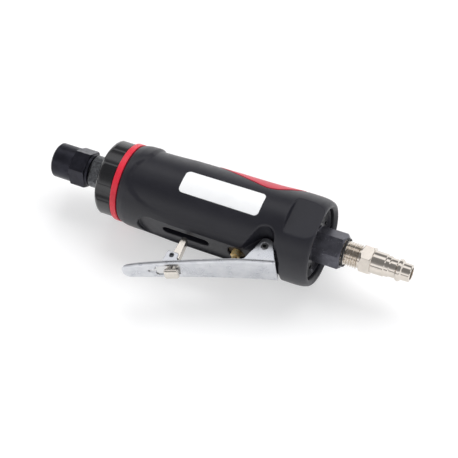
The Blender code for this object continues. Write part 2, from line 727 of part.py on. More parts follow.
# (along, across) the pad before it is tilted about the pin
LATCH_PAD = (
    (-4.2, -5.4), (2.8, -5.4), (3.2, -5.8), (3.2, -7.6), (2.6, -8.2), (-4.0, -8.2),
    (-4.6, -7.6), (-4.6, -5.8),
)
PAD_TILT_COS = 0.930
PAD_TILT_SIN = 0.3665
# (x, z) from the latch pin
PAD_PLAN = (
    (-2.2, -2.7), (-0.9, -3.8), (4.4, -3.8), (5.7, -2.7), (5.7, 2.7), (4.4, 3.8),
    (-0.9, 3.8), (-2.2, 2.7),
)


def latch_pad():
    side = [
        (LATCH_X + PAD_TILT_COS * along - PAD_TILT_SIN * across,
         LATCH_Y + PAD_TILT_SIN * along + PAD_TILT_COS * across)
        for along, across in LATCH_PAD
    ]
    pad = prism("latch_pad", side, -3.7, 3.7)
    keep(pad, prism("pad_plan", shifted(PAD_PLAN, (LATCH_X, 0)), -60, -30, "XZ"))
    return pad


def lock_off_latch():
    latch = prism("lock_off_latch", shifted(LATCH_ARM, LATCH_PIN), -2.2, 2.2)
    cut(latch, block("latch_channel", (LATCH_X - 6, LATCH_X + 1.2),
                     (LATCH_Y + 1.9, LATCH_Y + 20), (-1.15, 1.15)))
    join(latch, cross_rod("latch_hub", 2.45, LATCH_PIN, 2.9, steps=20),
         prism("latch_neck", shifted(LATCH_NECK, LATCH_PIN), -1.9, 1.9), latch_pad())
    cut(latch, cross_rod("latch_hole", LATCH_PIN_R + PIN_CLEARANCE, LATCH_PIN, 6, steps=20))
    finish(latch, NICKEL, origin=LATCH_AT)


def latch_pin_and_spring():
    finish(cross_rod("latch_pin", LATCH_PIN_R, LATCH_PIN, 7.9, steps=20, chamfer=0.2), STEEL)
    coil = spring("latch_spring", LATCH_AT, "Z", coil_r=1.75, wire_r=0.28, start=3.4, end=5.6,
                  turns=3.5, per_turn=9, leg=(1.2, -3.6, 0.0))
    finish(coil, STEEL)


# ---------------------------------------------------------------- throttle valve
# Profiles in this section are (y, radius).
STEM_R = 2.6
STEM_BORE_R = 2.68
STEM_PROFILE = (
    (-29.59, 0), (-29.43, 1.0), (-29.04, 1.8), (-28.61, 2.3), (-28.26, STEM_R),
    (-13.2, STEM_R), (-12.9, 1.5), (-8.3, 1.5), (-8.3, 0),
)
VALVE_BUSH_PROFILE = (
    (-20.5, STEM_BORE_R), (-20.5, 4.7), (-20.2, 4.98), (-8.35, 4.98), (-8.35, 3.1),
    (-12.9, 3.1), (-13.4, STEM_BORE_R), (-16.0, STEM_BORE_R), (-16.0, 3.6), (-18.0, 3.6),
    (-18.0, STEM_BORE_R),
)
STEM_ORING_PROFILE = (
    (-17.75, 2.72), (-17.75, 3.3), (-17.4, 3.5), (-16.6, 3.5), (-16.25, 3.3), (-16.25, 2.72),
)
POPPET_PROFILE = (
    (-8.0, 0), (-8.0, 3.9), (-7.4, 4.1), (-6.2, 4.1), (-6.0, 2.3), (-4.6, 2.1), (-4.6, 0),
)


def valve_turned(name, profile, steps=24):
    return revolve(name, profile, axis="Y", at=VALVE_AT, steps=steps)


def throttle_valve():
    finish(valve_turned("valve_stem", STEM_PROFILE), BRASS, origin=(VALVE_X, -20, 0))
    bush = valve_turned("valve_bush", VALVE_BUSH_PROFILE, steps=20)
    cut(bush, rod("bush_port", 1.2, 108, 126, at=ring_point(0, 10.6, 0), steps=12))
    finish(bush, BRASS)
    finish(valve_turned("valve_stem_oring", STEM_ORING_PROFILE), RUBBER)
    finish(valve_turned("valve_poppet", POPPET_PROFILE), RUBBER, origin=(VALVE_X, -8, 0))
    coil = spring("valve_spring", VALVE_AT, "Y", coil_r=3.2, wire_r=0.4, start=-5.3, end=8.9,
                  turns=5, per_turn=10)
    finish(coil, STEEL)


# ---------------------------------------------------------------- exhaust and inlet
COVER_PROFILE = (
    (151.6, 8.3), (151.6, 19.2), (154.6, 19.2), (154.6, 18.0), (153.2, 17.2), (153.2, 11.6),
    (153.9, 11.0), (153.9, 8.3),
)
COVER_HOLES = 12
BUSH_AF = 17.0
BUSH_CORNER = 38.0
BUSH_X = (154.4, 169.8)  # hexagonal length
BUSH_PROFILE = (
    (142.6, 4.4), (142.6, 7.5), (143.1, 7.9), (BUSH_X[0], 7.9), (BUSH_X[0], 9.9),
    (BUSH_X[1] - 1.0, 9.9), (BUSH_X[1], 8.4), (BUSH_X[1], 7.6), (BUSH_X[1] - 0.8, 6.95),
    (158.0, 6.95), (158.0, 4.4),
)
SCREEN_PROFILE = (
    (152.6, 0), (152.6, 4.0), (157.3, 4.0), (157.3, 3.5), (153.1, 3.5), (153.1, 0),
)
INLET_ORING_PROFILE = (
    (170.1, 6.95), (170.1, 7.5), (170.4, 7.8), (170.9, 7.8), (171.2, 7.5), (171.2, 6.95),
)
PLUG_AF = 14.0
PLUG_CORNER = 60.0
PLUG_BORE_R = 3.3
RIDGES = 7
RIDGE_START = 170.3
RIDGE_PITCH = 1.337
PLUG_FRONT_PROFILE = ((158.8, PLUG_BORE_R), (158.8, 5.7), (159.4, 6.3), (170.0, 6.3))
PLUG_REAR_PROFILE = (
    (178.9, 5.9), (179.6, 5.9), (179.6, 7.2), (180.3, 8.1), (185.0, 8.1), (185.7, 7.3),
    (185.7, 6.1), (192.4, 6.1), (192.9, 5.6), (194.8, 5.6), (195.4, 5.1), (198.8, 5.1),
    (199.4, 5.8), (200.0, 6.0), (200.8, 6.0), (201.4, 5.6), (201.8, 4.7), (206.0, 4.65),
    (PLUG_END, 4.2), (PLUG_END, PLUG_BORE_R),
)


def muffler_felt():
    finish(ring("muffler_felt", BOSS_R + 0.4, 19.2, 141.0, 151.0, steps=32), FELT)


def exhaust_cover():
    cover = revolve("exhaust_cover", COVER_PROFILE)
    for k in range(COVER_HOLES):
        centre = ring_point(0, 14.4, 360 / COVER_HOLES * k + 8)
        cut(cover, rod("cover_hole%d" % k, 1.15, 150, 156, at=centre, steps=8))
    finish(cover, GLOSS_BLACK)


def inlet_bushing():
    bushing = revolve("inlet_bushing", BUSH_PROFILE, steps=28)
    keep(bushing, prism("bushing_hex", hexagon(BUSH_AF, BUSH_CORNER), 140, 172, "YZ"))
    finish(bushing, OXIDE)


def inlet_screen_and_oring():
    finish(revolve("inlet_screen", SCREEN_PROFILE, steps=20), BRASS)
    finish(revolve("inlet_oring", INLET_ORING_PROFILE, steps=24), RUBBER)


def air_plug():
    profile = list(PLUG_FRONT_PROFILE)
    for k in range(RIDGES):
        x = RIDGE_START + RIDGE_PITCH * k
        profile += [(x, 6.0), (x + 0.6, 6.58)]
    profile += PLUG_REAR_PROFILE
    plug = revolve("air_plug", profile, steps=24)
    # only the collar is wide enough for the hexagon to trim
    keep(plug, prism("plug_hex", hexagon(PLUG_AF, PLUG_CORNER), 158, 208, "YZ"))
    finish(plug, NICKEL)


def centre_tool():
    """Move the parts so that the origin is the centre of the overall box."""
    lever_tip_y = WEB[0][1]
    housing_back_y = max(radius for _, radius in GRIP_PROFILE)
    centre = Vector(((NUT_FRONT + PLUG_END) / 2, (lever_tip_y + housing_back_y) / 2, 0.0))
    for obj in PARTS.objects:
        obj.matrix_world = Matrix.Translation(-centre * MM) @ obj.matrix_world


for build in (
    collet_nut, collet, rotor_spindle, vanes, motor_cylinder, cylinder_dowel, end_plates,
    bearings, clamp_seal_and_washer, motor_sleeve, front_cap, red_ring,
    grip_housing, label_plate, red_inlay, throttle_lever, lever_pin,
    lock_off_latch, latch_pin_and_spring, throttle_valve,
    muffler_felt, exhaust_cover, inlet_bushing, inlet_screen_and_oring, air_plug,
    centre_tool,
):
    build()
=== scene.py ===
"""Pneumatic die grinder, lying on a white studio floor.

The CAD model is the frame: the visible pieces are rebuilt finely here in the
same places, and the CAD pieces that stay get materials. Lengths are
millimetres. x is the station along the spindle axis, from the collet nut at
the front to the air plug at the rear. y = z = 0 is that axis, the lever is on
the -Y side and the label faces up, +Z. An angle is in degrees around the axis,
from -Y (0) towards +Z (90). CENTRE takes these into the frame of the CAD.
"""

import math

import bmesh
import bpy
import numpy as np
import openvdb
from mathutils import Matrix, Vector


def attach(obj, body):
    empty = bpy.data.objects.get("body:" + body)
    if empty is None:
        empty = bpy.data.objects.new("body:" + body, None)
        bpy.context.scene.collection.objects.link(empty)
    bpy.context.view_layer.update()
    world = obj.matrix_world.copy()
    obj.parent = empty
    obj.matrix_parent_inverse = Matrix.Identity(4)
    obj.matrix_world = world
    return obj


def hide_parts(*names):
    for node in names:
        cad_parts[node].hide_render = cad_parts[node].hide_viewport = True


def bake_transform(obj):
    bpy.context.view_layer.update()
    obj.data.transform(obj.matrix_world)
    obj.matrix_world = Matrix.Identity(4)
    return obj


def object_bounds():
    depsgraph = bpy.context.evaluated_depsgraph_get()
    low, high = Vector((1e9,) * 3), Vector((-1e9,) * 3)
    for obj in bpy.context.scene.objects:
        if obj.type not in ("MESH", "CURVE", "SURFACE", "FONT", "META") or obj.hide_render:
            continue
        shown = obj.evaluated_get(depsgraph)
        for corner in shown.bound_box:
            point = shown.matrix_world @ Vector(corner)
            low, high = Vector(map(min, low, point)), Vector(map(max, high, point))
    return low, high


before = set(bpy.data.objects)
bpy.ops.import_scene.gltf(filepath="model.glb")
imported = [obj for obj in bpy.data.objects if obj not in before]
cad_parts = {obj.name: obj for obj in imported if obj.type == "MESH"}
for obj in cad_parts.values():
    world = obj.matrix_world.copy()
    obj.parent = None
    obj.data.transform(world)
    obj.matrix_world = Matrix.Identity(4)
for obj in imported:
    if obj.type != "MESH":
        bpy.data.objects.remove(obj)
cad_low, cad_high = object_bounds()

MM = 0.001
CENTRE = np.array((102.5, -14.05, 0.0))
PIVOT = (132.2, -16.1)  # x, y of the lever's pin
LATCH = (88.2, -37.3)  # x, y of the latch's pin
VALVE_X = 117.0
ARC_PER_DEGREE = 0.4014  # millimetres around the barrel
NO_CUT = 99.0  # a radius outside every piece
WELD_DISTANCE = 2e-6  # metres


def to_world(points):
    return (np.asarray(points, float) - CENTRE) * MM


# ------------------------------------------------------------------ node graphs
class Graph:
    """A node tree, built one call at a time."""

    def __init__(self, tree):
        self.tree = tree

    def add(self, kind, inputs=None, **props):
        node = self.tree.nodes.new(kind)
        for key, value in props.items():
            setattr(node, key, value)
        for key, value in (inputs or {}).items():
            if isinstance(value, bpy.types.NodeSocket):
                self.tree.links.new(value, node.inputs[key])
            else:
                node.inputs[key].default_value = value
        return node

    def calc(self, operation, first, second=0.0):
        return self.add("ShaderNodeMath", {0: first, 1: second}, operation=operation).outputs[0]

    def times(self, first, second):
        return self.calc("MULTIPLY", first, second)

    def plus(self, first, second):
        return self.calc("ADD", first, second)


class Material(Graph):
    INPUTS = {
        "color": "Base Color", "rough": "Roughness", "metal": "Metallic", "normal": "Normal",
        "coat": "Coat Weight", "coat_rough": "Coat Roughness", "sheen": "Sheen Weight",
        "spec": "Specular IOR Level",
    }

    def __init__(self, name):
        self.data = bpy.data.materials.new(name)
        self.data.use_nodes = True
        super().__init__(self.data.node_tree)
        self.bsdf = self.tree.nodes["Principled BSDF"]
        self.coord = self.add("ShaderNodeTexCoord").outputs["Object"]

    def noise(self, size, detail=4.0, rough=0.55, stretch=(1, 1, 1), warp=0.0):
        """Noise with features about size millimetres across, stretched along the axes."""
        scale = tuple(1.0 / factor for factor in stretch)
        place = self.add("ShaderNodeMapping", {"Vector": self.coord, "Scale": scale}).outputs[0]
        return self.add("ShaderNodeTexNoise", {
            "Vector": place, "Scale": 1000.0 / size, "Detail": detail, "Roughness": rough,
            "Distortion": warp}).outputs["Fac"]

    def remap(self, value, low=0.3, high=0.7, to=(0.0, 1.0), smooth=False):
        return self.add(
            "ShaderNodeMapRange",
            {"Value": value, "From Min": low, "From Max": high, "To Min": to[0], "To Max": to[1]},
            interpolation_type="SMOOTHSTEP" if smooth else "LINEAR").outputs[0]

    def mix(self, share, first, second):
        colors = [c if isinstance(c, bpy.types.NodeSocket) else (*c, 1.0) for c in (first, second)]
        # inputs 6 and 7 are the node's two colours
        inputs = {0: share, 6: colors[0], 7: colors[1]}
        return self.add("ShaderNodeMix", inputs, data_type="RGBA").outputs[2]

    def edges(self, low, high):
        """1 on the convex edges of a dense mesh, 0 elsewhere."""
        point = self.add("ShaderNodeNewGeometry").outputs["Pointiness"]
        return self.remap(point, low, high, smooth=True)

    def bump(self, height, depth, strength, over=None):
        """A bump depth millimetres deep, on top of another normal if given."""
        inputs = {"Height": height, "Strength": strength, "Distance": depth * MM}
        if over is not None:
            inputs["Normal"] = over
        return self.add("ShaderNodeBump", inputs).outputs[0]

    def set(self, **values):
        for key, value in values.items():
            socket = self.bsdf.inputs[self.INPUTS[key]]
            if isinstance(value, bpy.types.NodeSocket):
                self.tree.links.new(value, socket)
            else:
                socket.default_value = (*value, 1.0) if key == "color" else value
        return self.data


def scaled(color, factor):
    return tuple(min(1.0, channel * factor) for channel in color)


# ------------------------------------------------------------------ materials
def grip_plastic():
    mat = Material("Moulded_grip_black")
    broad = mat.noise(size=26, detail=3, rough=0.5)
    grain = mat.noise(size=0.42, detail=3, rough=0.6)
    mould = mat.noise(size=3.2, rough=0.6)
    scuff = mat.noise(size=1.1, detail=5, rough=0.7, stretch=(6, 1, 1), warp=0.4)
    scuff = mat.remap(scuff, low=0.63, high=0.78)
    color = mat.mix(mat.remap(broad), (0.0090, 0.0090, 0.0135), (0.0135, 0.0135, 0.0190))
    color = mat.mix(mat.times(scuff, 0.3), color, (0.040, 0.040, 0.048))
    rough = mat.plus(mat.remap(mould, to=(0.33, 0.41)), mat.times(mat.remap(broad), 0.05))
    normal = mat.bump(grain, depth=0.035, strength=0.55)
    normal = mat.bump(mould, depth=0.02, strength=0.5, over=normal)
    return mat.set(color=color, rough=rough, normal=normal, spec=0.46)


def gloss_plastic():
    mat = Material("Gloss_cap_black")
    fine = mat.noise(size=0.5, rough=0.6)
    swirl = mat.noise(size=0.28, rough=0.65, stretch=(1, 14, 14), warp=0.3)
    dust = mat.remap(mat.noise(size=0.35, detail=2, rough=0.5), low=0.70, high=0.76)
    color = mat.mix(mat.times(dust, 0.3), (0.0070, 0.0070, 0.0085), (0.05, 0.05, 0.055))
    rough = mat.remap(swirl, high=0.75, to=(0.11, 0.22))
    normal = mat.bump(fine, depth=0.012, strength=0.35)
    return mat.set(color=color, rough=rough, normal=normal, coat=0.25, coat_rough=0.12, spec=0.5)


def red_plastic(name, base, rough):
    mat = Material(name)
    tone = mat.noise(size=7, detail=3, rough=0.5)
    grain = mat.noise(size=0.4, detail=3, rough=0.6)
    color = mat.mix(mat.remap(tone), scaled(base, 0.86), scaled(base, 1.08))
    chips = mat.remap(mat.noise(size=0.8, rough=0.7), low=0.5, high=0.62)
    wear = mat.times(mat.edges(0.54, 0.60), chips)
    color = mat.mix(mat.times(wear, 0.35), color, (0.75, 0.2, 0.2))
    return mat.set(
        color=color, rough=mat.remap(grain, to=(rough - 0.05, rough + 0.09)),
        normal=mat.bump(grain, depth=0.015, strength=0.4), spec=0.45)


def black_oxide(name, tint, speck, turned):
    """Blackened steel. speck is how much bright metal shows; turned gives it lathe lines."""
    mat = Material(name)
    cloud = mat.noise(size=4.5, detail=5, rough=0.6)
    pits = mat.noise(size=0.45, detail=5, rough=0.65)
    bright = mat.noise(size=0.55, detail=6, rough=0.75, warp=0.6)
    bright = mat.remap(bright, low=0.66 - 0.05 * speck, high=0.72, smooth=True)
    patch = mat.noise(size=3.2, detail=3, rough=0.6)
    patch = mat.remap(patch, low=0.45, high=0.6, smooth=True)
    chips = mat.remap(mat.noise(size=1.2, detail=5, rough=0.7), low=0.42, high=0.62)
    # convex edges lightened: partly worn, chipped edges, partly a painted edge highlight along the
    # bevels
    edge = mat.times(mat.edges(0.53, 0.62), chips)
    color = mat.mix(mat.remap(cloud), scaled(tint, 0.75), scaled(tint, 1.5))
    specks = mat.times(mat.times(bright, patch), speck)
    wear_and_edge_highlight = mat.calc("MAXIMUM", specks, mat.times(edge, 0.4))
    color = mat.mix(wear_and_edge_highlight, color, (0.33, 0.33, 0.37))
    rough = mat.plus(mat.remap(cloud, to=(0.30, 0.42)), mat.times(bright, 0.1))
    if turned:
        lines = mat.noise(size=0.16, detail=2, rough=0.5, stretch=(1, 40, 40))
        normal = mat.bump(lines, depth=0.01, strength=0.35)
    else:
        lines = mat.noise(size=1.2, detail=2, rough=0.5, stretch=(1, 8, 8))
        normal = mat.bump(lines, depth=0.01, strength=0.3)
    normal = mat.bump(pits, depth=0.018, strength=0.45, over=normal)
    return mat.set(color=color, rough=rough, metal=0.72, normal=normal)


def ground_steel(name, base, grime, rough):
    mat = Material(name)
    lines = mat.noise(size=0.12, detail=2, rough=0.5, stretch=(1, 60, 60))
    blot = mat.noise(size=1.4, detail=6, rough=0.7, warp=0.5)
    clean = mat.remap(blot, low=0.40, high=0.62, smooth=True)
    color = mat.mix(clean, scaled(base, 1 - 0.62 * grime), base)
    fleck = mat.remap(mat.noise(size=0.4, rough=0.7), low=0.60, high=0.68)
    color = mat.mix(mat.times(fleck, 0.5 * grime), color, scaled(base, 1.7))
    return mat.set(
        color=color, metal=0.95, rough=mat.remap(blot, to=(rough + 0.14, rough - 0.04)),
        normal=mat.bump(lines, depth=0.008, strength=0.5))


def satin_chrome():
    mat = Material("Satin_chrome")
    haze = mat.noise(size=9, rough=0.6)
    brush = mat.noise(size=0.10, detail=3, stretch=(40, 1, 1))
    orange_peel = mat.noise(size=1.6, detail=3, rough=0.5)
    # faint rings around cells 5.5 mm apart, in patches
    cells = mat.add("ShaderNodeTexVoronoi", {"Vector": mat.coord, "Scale": 1000.0 / 5.5})
    rim = mat.remap(cells.outputs["Distance"], low=0.20, high=0.34, to=(-1.0, 1.0))
    rim = mat.calc("SUBTRACT", 1.0, mat.calc("ABSOLUTE", rim))
    patch = mat.noise(size=6, detail=3, rough=0.6)
    patch = mat.remap(patch, low=0.5, high=0.6, smooth=True)
    rim = mat.times(mat.calc("MAXIMUM", rim, 0.0), patch)
    spots = mat.noise(size=1.0, detail=5, rough=0.7, warp=1.0)
    spots = mat.remap(spots, low=0.62, high=0.68, smooth=True)
    tone = mat.remap(haze, low=0.35, high=0.65)
    color = mat.mix(tone, (0.58, 0.595, 0.63), (0.72, 0.73, 0.755))
    color = mat.mix(mat.times(rim, 0.6), color, (0.40, 0.42, 0.47))
    color = mat.mix(mat.times(spots, 0.4), color, (0.88, 0.89, 0.91))
    rough = mat.plus(mat.remap(haze, to=(0.24, 0.34)), mat.times(spots, 0.12))
    rough = mat.plus(rough, mat.times(rim, 0.10))
    normal = mat.bump(orange_peel, depth=0.02, strength=0.5)
    normal = mat.bump(brush, depth=0.006, strength=0.5, over=normal)
    return mat.set(color=color, metal=1.0, rough=rough, normal=normal)


def nickel(name, base, rough):
    mat = Material(name)
    lines = mat.noise(size=0.14, detail=2, rough=0.5, stretch=(1, 50, 50))
    haze = mat.noise(size=3, rough=0.6)
    stain = mat.noise(size=1.3, detail=5, rough=0.7, warp=0.5)
    stain = mat.remap(stain, low=0.60, high=0.70, smooth=True)
    color = mat.mix(mat.remap(haze, low=0.35, high=0.65), scaled(base, 0.93), base)
    color = mat.mix(mat.times(stain, 0.25), color, scaled(base, 0.55))
    return mat.set(
        color=color, metal=1.0, rough=mat.remap(haze, to=(rough - 0.03, rough + 0.08)),
        normal=mat.bump(lines, depth=0.004, strength=0.4))


def brass(name, dull, bright, metal, rough):
    mat = Material(name)
    tarnish = mat.noise(size=1.8, detail=5, rough=0.65, warp=0.4)
    lines = mat.noise(size=0.12, detail=2, rough=0.5, stretch=(30, 1, 30))
    color = mat.mix(mat.remap(tarnish, low=0.4, high=0.62, smooth=True), dull, bright)
    return mat.set(
        color=color, metal=metal, rough=mat.remap(tarnish, to=(rough, rough - 0.12)),
        normal=mat.bump(lines, depth=0.008, strength=0.5))


def aluminium():
    mat = Material("Turned_aluminium")
    lines = mat.noise(size=0.2, detail=2, rough=0.5, stretch=(1, 50, 50))
    cloud = mat.noise(size=6, rough=0.6)
    color = mat.mix(mat.remap(cloud), (0.52, 0.53, 0.55), (0.66, 0.67, 0.69))
    return mat.set(color=color, metal=1.0, rough=mat.remap(cloud, to=(0.34, 0.46)),
                   normal=mat.bump(lines, depth=0.012, strength=0.6))


def cast_iron():
    mat = Material("Cast_iron")
    sand = mat.noise(size=0.7, detail=6, rough=0.7)
    tone = mat.noise(size=5, rough=0.6)
    color = mat.mix(mat.remap(tone), (0.12, 0.12, 0.12), (0.22, 0.215, 0.21))
    return mat.set(color=color, metal=0.85, rough=mat.remap(sand, to=(0.42, 0.6)),
                   normal=mat.bump(sand, depth=0.06, strength=0.7))


def rubber():
    mat = Material("Nitrile_rubber")
    dust = mat.noise(size=1.2, detail=5, rough=0.7)
    grain = mat.noise(size=0.3, detail=3, rough=0.6)
    dusty = mat.remap(dust, low=0.45, high=0.75)
    color = mat.mix(dusty, (0.012, 0.012, 0.013), (0.04, 0.04, 0.042))
    return mat.set(color=color, rough=mat.remap(grain, to=(0.5, 0.68)),
                   normal=mat.bump(grain, depth=0.02, strength=0.5))


def phenolic():
    mat = Material("Phenolic_laminate")
    layers = mat.noise(size=0.25, detail=3, rough=0.6, stretch=(30, 30, 1))
    fleck = mat.noise(size=1.1, detail=5, rough=0.7)
    layer = mat.remap(layers, low=0.35, high=0.65)
    color = mat.mix(layer, (0.20, 0.10, 0.04), (0.36, 0.20, 0.09))
    color = mat.mix(mat.remap(fleck, low=0.6, high=0.75), color, (0.12, 0.06, 0.03))
    return mat.set(color=color, rough=mat.remap(fleck, to=(0.45, 0.65)),
                   normal=mat.bump(layers, depth=0.02, strength=0.5))


def felt():
    mat = Material("Silencer_felt")
    fibre = mat.noise(size=0.32, detail=6, rough=0.8, warp=2.0)
    tuft = mat.noise(size=1.5, rough=0.7)
    pale = mat.remap(fibre, low=0.35, high=0.65)
    color = mat.mix(pale, (0.20, 0.20, 0.19), (0.62, 0.62, 0.60))
    height = mat.plus(fibre, mat.times(tuft, 0.5))
    return mat.set(color=color, rough=0.95, sheen=0.3,
                   normal=mat.bump(height, depth=0.25, strength=0.9))


def label_face():
    mat = Material("Label_white")
    paper = mat.noise(size=0.6, rough=0.6)
    tone = mat.noise(size=14, detail=3, rough=0.5)
    color = mat.mix(mat.remap(tone), (0.80, 0.81, 0.82), (0.86, 0.865, 0.87))
    color = mat.mix(mat.times(mat.edges(0.53, 0.6), 0.25), color, (0.55, 0.56, 0.58))
    return mat.set(color=color, rough=mat.remap(paper, to=(0.26, 0.38)),
                   normal=mat.bump(paper, depth=0.01, strength=0.3), coat=0.15)


LOOKS = {
    "grip_black": grip_plastic(),
    "gloss_black": gloss_plastic(),
    "signal_red": red_plastic("Signal_red", base=(0.66, 0.022, 0.045), rough=0.33),
    "inlay_red": red_plastic("Inlay_red", base=(0.50, 0.030, 0.055), rough=0.40),
    "black_oxide": black_oxide(
        "Black_oxide_steel", tint=(0.020, 0.020, 0.028), speck=0.35, turned=True),
    "bushing": black_oxide(
        "Black_oxide_bushing", tint=(0.085, 0.085, 0.102), speck=2.2, turned=False),
    "cover": black_oxide("Cover_black_steel", tint=(0.009, 0.009, 0.013), speck=1.3, turned=False),
    "ground_steel": ground_steel("Ground_steel", base=(0.42, 0.42, 0.43), grime=0.5, rough=0.28),
    "spindle": ground_steel(
        "Spindle_dull_steel", base=(0.16, 0.165, 0.175), grime=0.75, rough=0.34),
    "pin": ground_steel("Pin_steel", base=(0.35, 0.35, 0.36), grime=0.6, rough=0.3),
    "spring": ground_steel("Spring_wire", base=(0.46, 0.46, 0.48), grime=0.4, rough=0.26),
    "satin_chrome": satin_chrome(),
    "nickel": nickel("Bright_nickel", base=(0.72, 0.665, 0.60), rough=0.075),
    "latch": nickel("Latch_nickel", base=(0.78, 0.735, 0.67), rough=0.20),
    "brass": brass(
        "Turned_brass", dull=(0.50, 0.32, 0.10), bright=(0.86, 0.62, 0.25), metal=0.86, rough=0.46),
    # brass lightened to a pale cream for the stem's domed head: painted light, making the head look
    # lit inside the shaded recess
    "brass_head": brass(
        "Brass_head_painted_light", dull=(0.90, 0.62, 0.25), bright=(0.98, 0.80, 0.44),
        metal=0.35, rough=0.36),
    # brass darkened to near black for the valve bush: painted shade, standing for the shadow in the
    # valve bore around the stem
    "shaded_brass_bush": brass(
        "Brass_bush_painted_shade", dull=(0.05, 0.032, 0.012), bright=(0.11, 0.072, 0.026),
        metal=0.5, rough=0.66),
    "aluminium": aluminium(),
    "cast_iron": cast_iron(),
    "rubber": rubber(),
    "phenolic": phenolic(),
    "felt": felt(),
    "label_white": label_face(),
}


# ------------------------------------------------------------------ mesh tools
def mesh_of(name, points, faces):
    """A mesh of faces that all have the same number of corners."""
    mesh = bpy.data.meshes.new(name)
    faces = np.asarray(faces, np.int32)
    corners = faces.shape[1]
    mesh.vertices.add(len(points))
    mesh.vertices.foreach_set("co", to_world(points).astype(np.float32).ravel())
    mesh.loops.add(len(faces) * corners)
    mesh.loops.foreach_set("vertex_index", faces.ravel())
    mesh.polygons.add(len(faces))
    starts = np.arange(0, len(faces) * corners, corners, dtype=np.int32)
    mesh.polygons.foreach_set("loop_start", starts)
    mesh.update(calc_edges=True)
    mesh.validate()
    return mesh


def weld_mesh(mesh, dissolve=False, recalc=False):
    work = bmesh.new()
    work.from_mesh(mesh)
    bmesh.ops.remove_doubles(work, verts=work.verts, dist=WELD_DISTANCE)
    if dissolve:
        bmesh.ops.dissolve_degenerate(work, edges=work.edges, dist=1e-7)
    if recalc:
        bmesh.ops.recalc_face_normals(work, faces=work.faces)
    work.to_mesh(mesh)
    work.free()


def finish(name, mesh, look, node, body="housing", sharp=40.0, weld=True):
    """The object that takes the place of a CAD node and rides on a body."""
    if weld:
        weld_mesh(mesh, dissolve=True)
    obj = bpy.data.objects.new(name, mesh)
    bpy.context.scene.collection.objects.link(obj)
    mesh.materials.clear()
    mesh.materials.append(LOOKS[look])
    mesh.shade_smooth()
    mesh.set_sharp_from_angle(angle=math.radians(sharp))
    if body:
        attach(obj, body)
    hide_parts(node)
    return obj


def soften(points, corner, steps=3, closed=False):
    """A profile of (station, radius) with each corner turned into a small arc.

    A point may carry its own corner radius as a third value.
    """
    out = []
    count = len(points)
    for i, point in enumerate(points):
        rounding = point[2] if len(point) > 2 else corner
        here = Vector((point[0], point[1]))
        if not closed and i in (0, count - 1):
            out.append((point[0], point[1]))
            continue
        back = Vector(points[i - 1][:2]) - here
        ahead = Vector(points[(i + 1) % count][:2]) - here
        if rounding <= 0 or back.length < 1e-6 or ahead.length < 1e-6 or here.y <= 0:
            out.append((point[0], point[1]))
            continue
        turn = math.pi - back.angle(ahead)
        if turn < math.radians(4):
            out.append((point[0], point[1]))
            continue
        cut_back = min(rounding * math.tan(turn / 2), 0.45 * back.length, 0.45 * ahead.length)
        first = here + back.normalized() * cut_back
        last = here + ahead.normalized() * cut_back
        for k in range(steps + 1):
            share = k / steps
            spot = first * (1 - share) ** 2 + here * 2 * share * (1 - share) + last * share ** 2
            out.append((spot.x, spot.y))
    return out


def dense(points, step, closed=False):
    """The profile with points at most step apart; step may depend on (station, radius)."""
    out = []
    count = len(points)
    for i in range(count if closed else count - 1):
        (x0, r0), (x1, r1) = points[i][:2], points[(i + 1) % count][:2]
        limit = step((x0 + x1) / 2, (r0 + r1) / 2) if callable(step) else step
        pieces = max(1, int(math.ceil(math.hypot(x1 - x0, r1 - r0) / limit)))
        for k in range(pieces):
            out.append((x0 + (x1 - x0) * k / pieces, r0 + (r1 - r0) * k / pieces))
    if not closed:
        out.append(points[-1][:2])
    return out


AXIS_ORDER = {"X": [0, 1, 2], "Y": [1, 0, 2], "Z": [2, 1, 0]}


def lathe(name, profile, steps=128, shape=None, start=0.0, axis="X", at=(0, 0, 0)):
    """A profile of (station, radius) turned about an axis.

    shape(station, angle, radius) may change the radius, so that flats, flutes
    and threads run through it. A profile that doesn't start and end on the
    axis is closed on itself.
    """
    closed = not (profile[0][1] < 1e-6 and profile[-1][1] < 1e-6)
    outline = np.array([point[:2] for point in profile], float)
    angles = start + np.arange(steps) * 360.0 / steps
    station, angle = np.meshgrid(outline[:, 0], angles, indexing="ij")
    radius = np.repeat(outline[:, 1:2], steps, 1)
    if shape:
        radius = shape(station, angle, radius)
    turn = np.radians(angle)
    points = np.stack([station, -radius * np.cos(turn), radius * np.sin(turn)], -1)
    points = points.reshape(-1, 3)[:, AXIS_ORDER[axis]]
    rings = len(outline)
    ring, step = np.meshgrid(
        np.arange(rings if closed else rings - 1), np.arange(steps), indexing="ij")
    row, next_row = ring * steps, (ring + 1) % rings * steps
    next_step = (step + 1) % steps
    quads = np.stack([row + step, next_row + step, next_row + next_step, row + next_step], -1)
    quads = quads.reshape(-1, 4)
    # the faces must look outwards
    corner = points[quads]
    volume = sum(
        np.einsum("ij,ij->i", corner[:, 0], np.cross(corner[:, i], corner[:, i + 1])).sum()
        for i in (1, 2))
    if volume < 0:
        quads = quads[:, ::-1]
    return mesh_of(name, points + np.array(at, float), quads)


def rod_cutter(radius, low, high, steps=48, axis="X", at=(0, 0, 0)):
    profile = [(low, 0), (low, radius), (high, radius), (high, 0)]
    return lathe("cutter", profile, steps, axis=axis, at=at)


def drill(mesh, cutters):
    """The mesh with each closed cutter taken out of it."""
    obj = bpy.data.objects.new("drilled", mesh)
    bpy.context.scene.collection.objects.link(obj)
    for cutter in cutters:
        weld_mesh(cutter)
        tool = bpy.data.objects.new("tool", cutter)
        bpy.context.scene.collection.objects.link(tool)
        boolean = obj.modifiers.new("Drill", "BOOLEAN")
        boolean.operation = "DIFFERENCE"
        boolean.solver = "MANIFOLD"
        boolean.object = tool
        bpy.context.view_layer.update()
        graph = bpy.context.evaluated_depsgraph_get()
        result = bpy.data.meshes.new_from_object(obj.evaluated_get(graph))
        obj.modifiers.clear()
        obj.data = result
        bpy.data.objects.remove(tool)
    result = obj.data
    bpy.data.objects.remove(obj)
    return result


